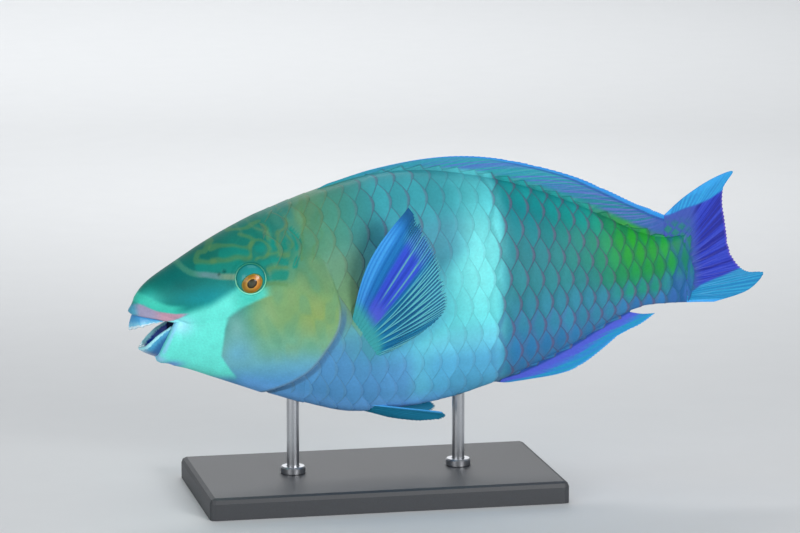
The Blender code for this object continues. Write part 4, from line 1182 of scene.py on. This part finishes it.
PECTORAL_EDGE = (
    (0.1480, 0.0640), (0.1525, 0.0570), (0.1560, 0.0500), (0.1592, 0.0430), (0.1620, 0.0360),
    (0.1640, 0.0290), (0.1655, 0.0215), (0.1668, 0.0140), (0.1672, 0.0080), (0.1655, 0.0030),
    (0.1612, -0.0020), (0.1560, -0.0065), (0.1495, -0.0110), (0.1405, -0.0165),
)
PECTORAL_SPREAD = 0.34
PECTORAL_BOW, BOWED_RAYS = 0.112, 7      # the first rays bow forwards, as a share of their length
PECTORAL_CROWD = 1.6             # how much closer together the first rays run out to the tip
PELVIC_ROOT = ((0.1100, -0.0472, 0.0108), (0.1175, -0.0525, 0.0050))
PELVIC_EDGE = (
    (0.1655, -0.0592, 0.0150), (0.1680, -0.0622, 0.0130), (0.1640, -0.0642, 0.0110),
    (0.1560, -0.0642, 0.0090), (0.1470, -0.0630, 0.0068), (0.1370, -0.0606, 0.0050),
)

midline_places = np.linspace(0, LAST, 1701)
backs = bare_point(midline_places, 90 + 0 * midline_places)
bellies = bare_point(midline_places, -90 + 0 * midline_places)


def in_plane(x, z):
    """Points of the fish's middle plane."""
    return np.stack((x, 0 * x, z), -1)


def midline_fin(start, end, edge, rays, line, sign):
    """The middle sheet of a fin along the back or belly, its rays leaning back and a little bowed."""
    def middle(ray, share):
        part = ray / (rays - 1)
        root_x = start + (end - start) * part
        root = in_plane(root_x, np.interp(root_x, line[:, 0], line[:, 2]) - sign * MIDLINE_SINK)
        tip_x, tip_z = np.moveaxis(through(edge, part * (len(edge) - 1)), -1, 0)
        tip = in_plane(tip_x, tip_z)
        length = np.linalg.norm(tip - root, axis=-1)
        bow = in_plane(0 * ray, sign * MIDLINE_BOW * length * hump(share))
        return root + (tip - root) * share[:, None] + bow
    return middle


def caudal_middle(ray, share):
    """The tail fin's middle sheet, its rays fanning from the end of the stalk."""
    on_top = np.minimum(ray / CAUDAL_TOP_RAYS, 1.0)
    down = np.maximum(0.0, (ray - CAUDAL_TOP_RAYS) / (len(CAUDAL_EDGE) - 1 - CAUDAL_TOP_RAYS))
    root = in_plane(CAUDAL_FRONT + (CAUDAL_BACK - CAUDAL_FRONT) * on_top,
                    CAUDAL_TOP + (CAUDAL_BOTTOM - CAUDAL_TOP) * down)
    tip_x, tip_z = np.moveaxis(through(CAUDAL_EDGE, ray), -1, 0)
    return root + (in_plane(tip_x, tip_z) - root) * share[:, None]


pectoral_roots = []
for ray_number in range(PECTORAL_RAYS):
    foot = PECTORAL_TOP + (PECTORAL_BOTTOM - PECTORAL_TOP) * ray_number / (PECTORAL_RAYS - 1)
    spot = skin_spot(*foot)
    pectoral_roots.append(bare_point(*spot) - PAIRED_SINK * bare_normal(*spot))


def pectoral_middle(ray, share):
    """The left pectoral fin's middle sheet, which leaves the flank and flattens out."""
    root = through(pectoral_roots, ray)
    last = PECTORAL_RAYS - 1
    tip_x, tip_z = np.moveaxis(through(PECTORAL_EDGE, last * (ray / last) ** PECTORAL_CROWD), -1, 0)
    run, climb = tip_x - root[:, 0], tip_z - root[:, 2]
    length = np.hypot(run, climb)
    out = PECTORAL_SPREAD * length * (1 - (1 - share) ** 2) + PAIRED_SINK * share
    bow = PECTORAL_BOW * np.clip(1 - ray / BOWED_RAYS, 0, 1) ** 2 * hump(share)
    return root + np.stack((run * share - climb * bow, -out, climb * share + run * bow), -1)


def pelvic_middle(ray, share):
    """The left pelvic fin's middle sheet, folded back under the belly."""
    part = (ray / (PELVIC_RAYS - 1))[:, None]
    first, last = (np.array(end) for end in PELVIC_ROOT)
    tip = through(PELVIC_EDGE, ray)
    point = first + (last - first) * part
    point = point + (tip - point) * share[:, None]
    return np.stack((point[:, 0], -point[:, 2], point[:, 1]), -1)


def sheet(root, base, edge=0.0005, middle_ray=0.0, reach=1e3):
    """Thickness of a fin's sheet to its edge, from a foot that may swell round a middle ray only."""
    def thickness(ray, share):
        swell = np.sqrt(np.clip(1 - ((ray - middle_ray) / reach) ** 2, 0, 1))
        return edge + (root - edge) * (1 - share) + (base - root) * np.clip(1 - 4 * share, 0, 1) ** 2 * swell
    return thickness


def fin_material(name, clear):
    """Painted fin, satin, its colours as stored, and see-through where its membrane is clear."""
    material, tree, shader = new_material(name, 0.45, 0.05, 0.25, specular=0.15)
    uneven(tree, read(tree, "tint"), 800.0, 0.07, shader, 0.2, 0.0002)
    if clear:
        tree.links.new(read(tree, "solidity", "Fac"), shader["Alpha"])
    return material


def stripe(ray, places, width):
    """1 along the given ray places, fading at the width."""
    return sum(np.exp(-((ray - place) / width) ** 2) for place in places)


def streaks(places, share, size, seed):
    """Fine lines along a fin, about -1 to 1, at places across it, changing slowly on their way out."""
    return mottle(np.stack((places, 0.25 * size * share, 0 * places), -1), size, seed)


def dorsal_paint(ray, share, ridge, point):
    """Back fin: body colour at the root, violet and teal streaks that lean back, a bright blue rim."""
    tint = markings_and_light(point * (1, 0, 1) - (0, 0, 0.003))
    rear = soft(ray, 9, 15)
    inner = lay(base_coat((45, 146, 176), ray), ((42, 104, 162), rear))
    lines = streaks(ray - 2.2 * share, share, 0.42, 61)
    violet, teal = soft(lines, 0.05, 0.55), soft(lines, -0.05, -0.55)
    inner = lay(
        inner,
        ((76, 114, 190), 0.85, violet, (ray, 2, 6)),
        ((90, 110, 182), 0.7, violet, rear),
        ((38, 158, 162), 0.75, teal),
        ((30, 120, 142), 0.7, teal, rear),
    )
    tint += (inner - tint) * soft(share, 0.10, 0.30)[:, None]
    tint = lay(tint, ((58, 88, 172), 0.8, (ray, 16.2, 17.8)))
    outward = share + 0.06 * rear
    rim = soft(outward, 0.83, 0.89)
    return lay(
        tint,
        ((15, 72, 160), 0.6, (abs(outward - 0.80), 0.08, 0.02), (ray, 6, 10)),
        ((34, 140, 220), rim),
        ((62, 160, 236), 0.7, rim, rear, (outward, 0.95, 1.02)),
        ((60, 162, 240), rim, (ray, 6, 1)),
    )


def anal_paint(ray, share, ridge, point):
    """Anal fin: a dark line at the root, violet within, blue outside with streaks along its edge."""
    tint = markings_and_light(point * (1, 0, 1) + (0, 0, 0.004))
    lines = streaks(5 * share - 0.8 * ray, share, 0.9, 62)
    return lay(
        tint,
        ((78, 94, 210), (share, 0.08, 0.22)),
        ((24, 60, 150), 0.7, (abs(share - 0.13), 0.07, 0.02)),
        ((30, 142, 198), (share, 0.46, 0.60)),
        ((56, 126, 206), 0.6, (lines, 0.1, 0.6), (share, 0.3, 0.5)),
        ((34, 158, 178), 0.5, (lines, -0.1, -0.6), (share, 0.3, 0.5)),
        ((66, 164, 230), (share, 0.90, 0.96)),
    )


# where the tail fin's pale lobes begin, x and z
UPPER_LOBE_LINE = ((307.7, 34.0), (315.4, 36.4), (323.7, 38.1), (331.5, 40.7), (338.7, 44.4), (346.0, 49.5))
LOWER_LOBE_LINE = (
    (309.1, -15.4), (316.4, -11.6), (322.5, -8.3), (329.7, -6.2), (337.5, -4.2), (346.5, -1.3), (354.0, 0.5),
)
# scales painted on the tail fin's foot: first place, steps, how much each column is higher, and half sizes
FOOT_X, FOOT_Z, FOOT_STEP_X, FOOT_STEP_Z, FOOT_CLIMB = 305.8, 9.0, 4.1, 5.6, 0.4
FOOT_LONG, FOOT_HIGH = 3.6, 3.4


def caudal_paint(ray, share, ridge, point):
    """Tail fin: scaly green and violet base, deep blue middle with fine streaks, pale blue lobes and rims."""
    x, z = side_view(point)
    lines = streaks(ray, share, 0.30, 63)
    tint = lay(
        base_coat((36, 54, 178), ray),
        ((28, 34, 138), 0.75, (lines, 0.0, 0.5)),
        ((56, 76, 196), 0.6, (lines, -0.1, -0.6)),
    )
    top, bottom = height_at(x, UPPER_LOBE_LINE), height_at(x, LOWER_LOBE_LINE)
    upper, lower = soft(z, top - 1.0, top + 0.6), soft(z, bottom + 1.0, bottom - 0.6)
    tint = lay(tint, ((38, 146, 212), upper), ((33, 138, 190), lower))
    fine = streaks(ray, share, 0.17, 66)
    tint = lay(
        tint,
        ((56, 180, 220), 0.35, (fine, 0.0, 0.6), upper + lower),
        ((26, 108, 178), 0.35, (fine, -0.1, -0.6), upper + lower),
        ((52, 164, 232), 0.7, upper, (z, top + 4.5, top + 8)),
        ((66, 166, 240), soft(ray, 0.55, 0.25) + soft(ray, 13.5, 13.8)),
        ((110, 84, 190), 0.7, (share, 0.955, 0.985), 1 - upper, 1 - lower),
    )
    base = soft(x, 326, 318) * (1 - upper) * (1 - lower)
    return lay(
        tint,
        ((60, 84, 172), base),
        ((22, 136, 104), 0.75, base, stalk_scales(x, z), (x, 323, 312), (z, 33, 26)),
    )


def stalk_scales(x, z):
    """1 at the middles of the scales that run on from the stalk over the tail fin's foot, 0 between."""
    best = np.zeros(len(x))
    for column in range(5):
        for row in range(-4, 6):
            middle_x = FOOT_X + FOOT_STEP_X * column
            middle_z = FOOT_Z + FOOT_STEP_Z * (2 * row + column % 2) / 2 + FOOT_CLIMB * column
            away = abs(x - middle_x) / FOOT_LONG + abs(z - middle_z) / FOOT_HIGH
            best = np.maximum(best, soft(away, 1.0, 0.5))
    return best


# Each pectoral ray has a painted shadow line beside it.
RAY_SHADOW_SHIFT = 0.16                # from a ray of the pectoral fin to the dark line beside it


def pectoral_paint(ray, share, ridge, point):
    """Pectoral fin: pale blue leading edge, royal blue middle, teal rays over a clear membrane behind."""
    lines = streaks(ray, share, 0.55, 64)
    tint = lay(
        base_coat((30, 118, 188), ray),
        ((18, 96, 170), 0.6, (lines, 0.1, 0.6)),
        ((66, 160, 232), (ray, 2.1, 1.5), 1 - 0.7 * soft(share, 0.72, 0.92)),
        ((34, 112, 196), 0.6, stripe(ray, (0.45, 1.0, 1.6), 0.12)),
    )
    royal = soft(ray, 2.7, 3.3) * soft(ray, 6.1, 5.5) * soft(share, 0.08, 0.25)
    tint = lay(
        tint,
        ((52, 80, 206), royal),
        ((36, 62, 178), 0.6, royal, (lines, 0.1, 0.6)),
        ((82, 96, 214), dab(ray, share, (5.0, 0.22), (2.4, 0.10))),
    )
    behind = soft(ray, 5.6, 6.6)
    # beside: the dark line along one side of each ray, painted shadow of the ray.
    beside = rays_at(ray - RAY_SHADOW_SHIFT, share)
    tint = lay(
        tint,
        ((24, 120, 172), behind),
        # painted shadow lines beside the rays behind
        ((10, 72, 128), 0.85, behind, beside),
        ((118, 206, 206), 0.9, behind, ridge),
        ((108, 192, 182), 0.85, stripe(ray, (4.1, 5.3), 0.10), (share, 0.25, 0.45)),
    )
    fringe = soft(ray, 1.8, 3.0) * soft(ray, 6.6, 5.6) * soft(share, 0.76, 0.88)
    return lay(
        tint,
        # painted shadow lines beside the rays of the fringe
        ((14, 76, 140), 0.8, fringe, beside),
        ((92, 176, 200), 0.85, fringe, ridge),
        ((12, 108, 160), 0.9, stripe(ray, (11.0,), 0.45)),
        ((134, 208, 208), 0.85, stripe(ray, (12.5,), 0.20)),
        ((17, 88, 140), (share, 0.84, 0.97), (ray, 4.2, 2.6)),
        ((64, 166, 172), (share, 0.23, 0.09)),
    )


def pelvic_paint(ray, share, ridge, point):
    """Pelvic fin: dark teal blue with a bright first ray."""
    return lay(
        base_coat((24, 114, 147), ray),
        ((50, 150, 190), 0.6, ridge),
        ((70, 164, 226), (ray, 0.6, 0.2)),
    )


def solid_everywhere(ray, share, ridge):
    """A fin that lets no light through."""
    return np.ones(len(ray))


def pectoral_solidity(ray, share, ridge):
    """Firm in front and at the root, clear between the rays behind."""
    behind = soft(ray, 5.4, 7.5) * soft(share, 0.15, 0.50)
    fringe = soft(ray, 1.6, 2.6) * soft(share, 0.84, 0.97)
    # the rays' painted shadow lines stay firm, like the rays
    line = np.maximum(ridge, 0.8 * rays_at(ray - RAY_SHADOW_SHIFT, share))
    return np.clip(1 - np.maximum(0.6 * behind, 0.95 * fringe) * (1 - 0.92 * line), 0, 1)


def even_edge(ray):
    """An edge that is a little ragged all along."""
    return 0.04 + 0 * ray


def caudal_edge(ray):
    """The tail fin's edge, ragged behind and smooth along the tops of its lobes."""
    return 0.022 * soft(ray, 3.2, 4.2) * soft(ray, 12.6, 11.6)


def pectoral_edge(ray):
    """The pectoral fin's edge, smooth in front and fringed behind."""
    return 0.05 * soft(ray, 1.6, 3.0)


# node, slot, rays, mesh rows, mesh columns for each ray, middle sheet, thickness, height of the ray ridges
# over RIDGE, raggedness of the edge, paint, solidity
FINS = (
    ("dorsal_fin", "dorsal_skin", DORSAL_RAYS, 22, 18,
     midline_fin(DORSAL_START, DORSAL_END, DORSAL_EDGE, DORSAL_RAYS, backs, 1),
     sheet(0.0011, 0.0018), 0.5, even_edge, dorsal_paint, solid_everywhere),
    ("anal_fin", "anal_skin", ANAL_RAYS, 24, 18,
     midline_fin(ANAL_START, ANAL_END, ANAL_EDGE, ANAL_RAYS, bellies, -1),
     sheet(0.0011, 0.0018), 0.35, even_edge, anal_paint, solid_everywhere),
    ("caudal_fin", "caudal_skin", len(CAUDAL_EDGE), 44, 28, caudal_middle,
     sheet(0.0012, 0.0068, middle_ray=8.5, reach=5.6), 0.7, caudal_edge, caudal_paint, solid_everywhere),
    ("pectoral_fin", "pectoral_skin", PECTORAL_RAYS, 46, 44, pectoral_middle,
     sheet(0.0009, 0.0034), 1.0, pectoral_edge, pectoral_paint, pectoral_solidity),
    ("pelvic_fin", "pelvic_skin", PELVIC_RAYS, 30, 14, pelvic_middle,
     sheet(0.0009, 0.0030), 0.8, even_edge, pelvic_paint, solid_everywhere),
)


for node, slot, *shape in FINS:
    finish = fin_material(node.replace("_", " "), pectoral_solidity in shape)
    paired = node in ("pectoral_fin", "pelvic_fin")
    for suffix, mirrored in ((("_left", False), ("_right", True)) if paired else (("", False),)):
        name = f"{node}{suffix}_rayed"
        fin = place_piece(name, fin_mesh(name, mirrored, *shape), finish)
        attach(fin, "root")
        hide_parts(node + suffix)


# The stand. A low base of dark painted aluminium and two steel rods that reach up to the belly,
# each standing in a small turned collar.
COLLAR = (    # its section: how far outside the rod, and how high
    (0.0002, 0.0003), (0.0034, 0.0003), (0.0034, 0.0032), (0.0028, 0.0040), (0.0002, 0.0040),
)


def plain_material(name, colour, roughness, size, depth, bump, distance, metallic=0.0):
    """A material of one colour, a little uneven."""
    material, tree, shader = new_material(name, roughness, metallic=metallic)
    plain = tree.nodes.new("ShaderNodeRGB").outputs[0]
    plain.default_value = tuple(colour)
    uneven(tree, plain, size, depth, shader, bump, distance)
    return material


def paint_solid(node, material):
    """Paint a part of the stand that shows as it was cut."""
    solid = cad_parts[node].data
    solid.materials.clear()
    solid.materials.append(material)


def collar_mesh(name, radius):
    """A small turned ring that fits round a rod."""
    bm = bmesh.new()
    outline = [bm.verts.new((radius + reach, 0, height)) for reach, height in COLLAR]
    for pair in zip(outline, outline[1:] + outline[:1]):
        bm.edges.new(pair)
    turn_round(bm, 64)
    bmesh.ops.recalc_face_normals(bm, faces=bm.faces)
    return new_mesh(bm, name)


base_paint = plain_material("base paint", as_light(shade(58, 60, 64)), 0.5, 1400.0, 0.12, 0.3, 0.0002)
rod_steel = plain_material(
    "rod steel", as_light(shade(186, 188, 192)), 0.3, 1200.0, 0.08, 0.12, 0.0001, metallic=1.0)
paint_solid("stand_base", base_paint)
base_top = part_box("stand_base")[1].z
for node in ("stand_rod_front", "stand_rod_rear"):
    paint_solid(node, rod_steel)
    low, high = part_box(node)
    mesh = collar_mesh(node.replace("rod", "collar"), (high.x - low.x) / 2)
    mesh.transform(Matrix.Translation(((low.x + high.x) / 2, (low.y + high.y) / 2, base_top)))
    mesh.materials.append(rod_steel)
    mesh.shade_smooth()
    mesh.set_sharp_from_angle(angle=math.radians(30))
    collar = new_object(mesh.name, mesh)
    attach(collar, "root")


# The studio. A pale floor that curves up behind, soft lights from the front and above,
# and the camera where the fish shows its left side, turned a little towards its head.
FLOOR_HALF, FLOOR_FRONT = 5.0, -4.0    # half its width, and where its front edge lies
FLOOR_BACK, FLOOR_BEND = 2.7, 0.9    # where the floor starts to curve up, and the curve's radius


def floor_mesh():
    """A wide floor with a curved rise behind it."""
    bm = bmesh.new()
    bmesh.ops.create_grid(bm, x_segments=1, y_segments=48, size=FLOOR_HALF)
    for vert in bm.verts:
        run = vert.co.y + FLOOR_HALF + FLOOR_FRONT
        past = max(0.0, run - FLOOR_BACK)
        turn = min(past / FLOOR_BEND, math.pi / 2)
        rise = FLOOR_BEND * (1 - math.cos(turn)) + max(0.0, past - FLOOR_BEND * math.pi / 2)
        vert.co = (vert.co.x, min(run, FLOOR_BACK) + FLOOR_BEND * math.sin(turn), rise)
    return new_mesh(bm, "floor")


floor_paint = plain_material("pale floor", (0.72, 0.73, 0.74, 1), 0.7, 30.0, 0.01, 0.02, 0.0005)
floor = new_object("floor", floor_mesh())
floor.data.shade_smooth()
floor.data.materials.append(floor_paint)

FISH_MIDDLE = (0.0, 0.0, 0.11)
LIGHTS = (                       # name, place, what it is aimed at, size and power
    ("key", (0.50, -1.35, 0.50), FISH_MIDDLE, 0.45, 11.5),
    ("fill", (-1.05, -1.05, 0.30), FISH_MIDDLE, 0.9, 7),
    ("top", (0.0, 0.10, 1.30), FISH_MIDDLE, 0.9, 2.2),
    ("back", (0.2, 1.10, 0.70), FISH_MIDDLE, 0.6, 2),
    ("wall", (0.0, 1.90, 2.10), (0.0, 3.00, 0.30), 1.5, 45),
)
for name, place, aim, size, power in LIGHTS:
    lamp = bpy.data.lights.new(name, "AREA")
    lamp.shape, lamp.size, lamp.energy = "SQUARE", size, power
    light = new_object(name, lamp)
    light.location = place
    light.rotation_euler = (Vector(aim) - Vector(place)).to_track_quat("-Z", "Y").to_euler()

world = bpy.data.worlds.new("studio")
world.use_nodes = True
sky = world.node_tree.nodes["Background"].inputs
sky["Color"].default_value = (0.9, 0.95, 1.0, 1)
sky["Strength"].default_value = 0.30
bpy.context.scene.world = world
bpy.context.scene.view_settings.view_transform = "Standard"

AIM = Vector((-0.02930, 0.0, 0.12599))
CAMERA_AROUND, CAMERA_UP, CAMERA_AWAY = math.radians(-12), math.radians(10), 2.0
PIXEL = 0.0005535                # what one pixel of the picture covers at the fish
PICTURE_WIDTH, SENSOR = 800, 36.0
back = Vector((math.sin(CAMERA_AROUND) * math.cos(CAMERA_UP), -math.cos(CAMERA_AROUND) * math.cos(CAMERA_UP),
               math.sin(CAMERA_UP)))
lens = bpy.data.cameras.new("camera")
lens.sensor_width = SENSOR
lens.lens = SENSOR * CAMERA_AWAY / (PICTURE_WIDTH * PIXEL)
camera = new_object("camera", lens)
camera.location = AIM + back * CAMERA_AWAY
camera.rotation_euler = back.to_track_quat("Z", "Y").to_euler()
bpy.context.scene.camera = camera
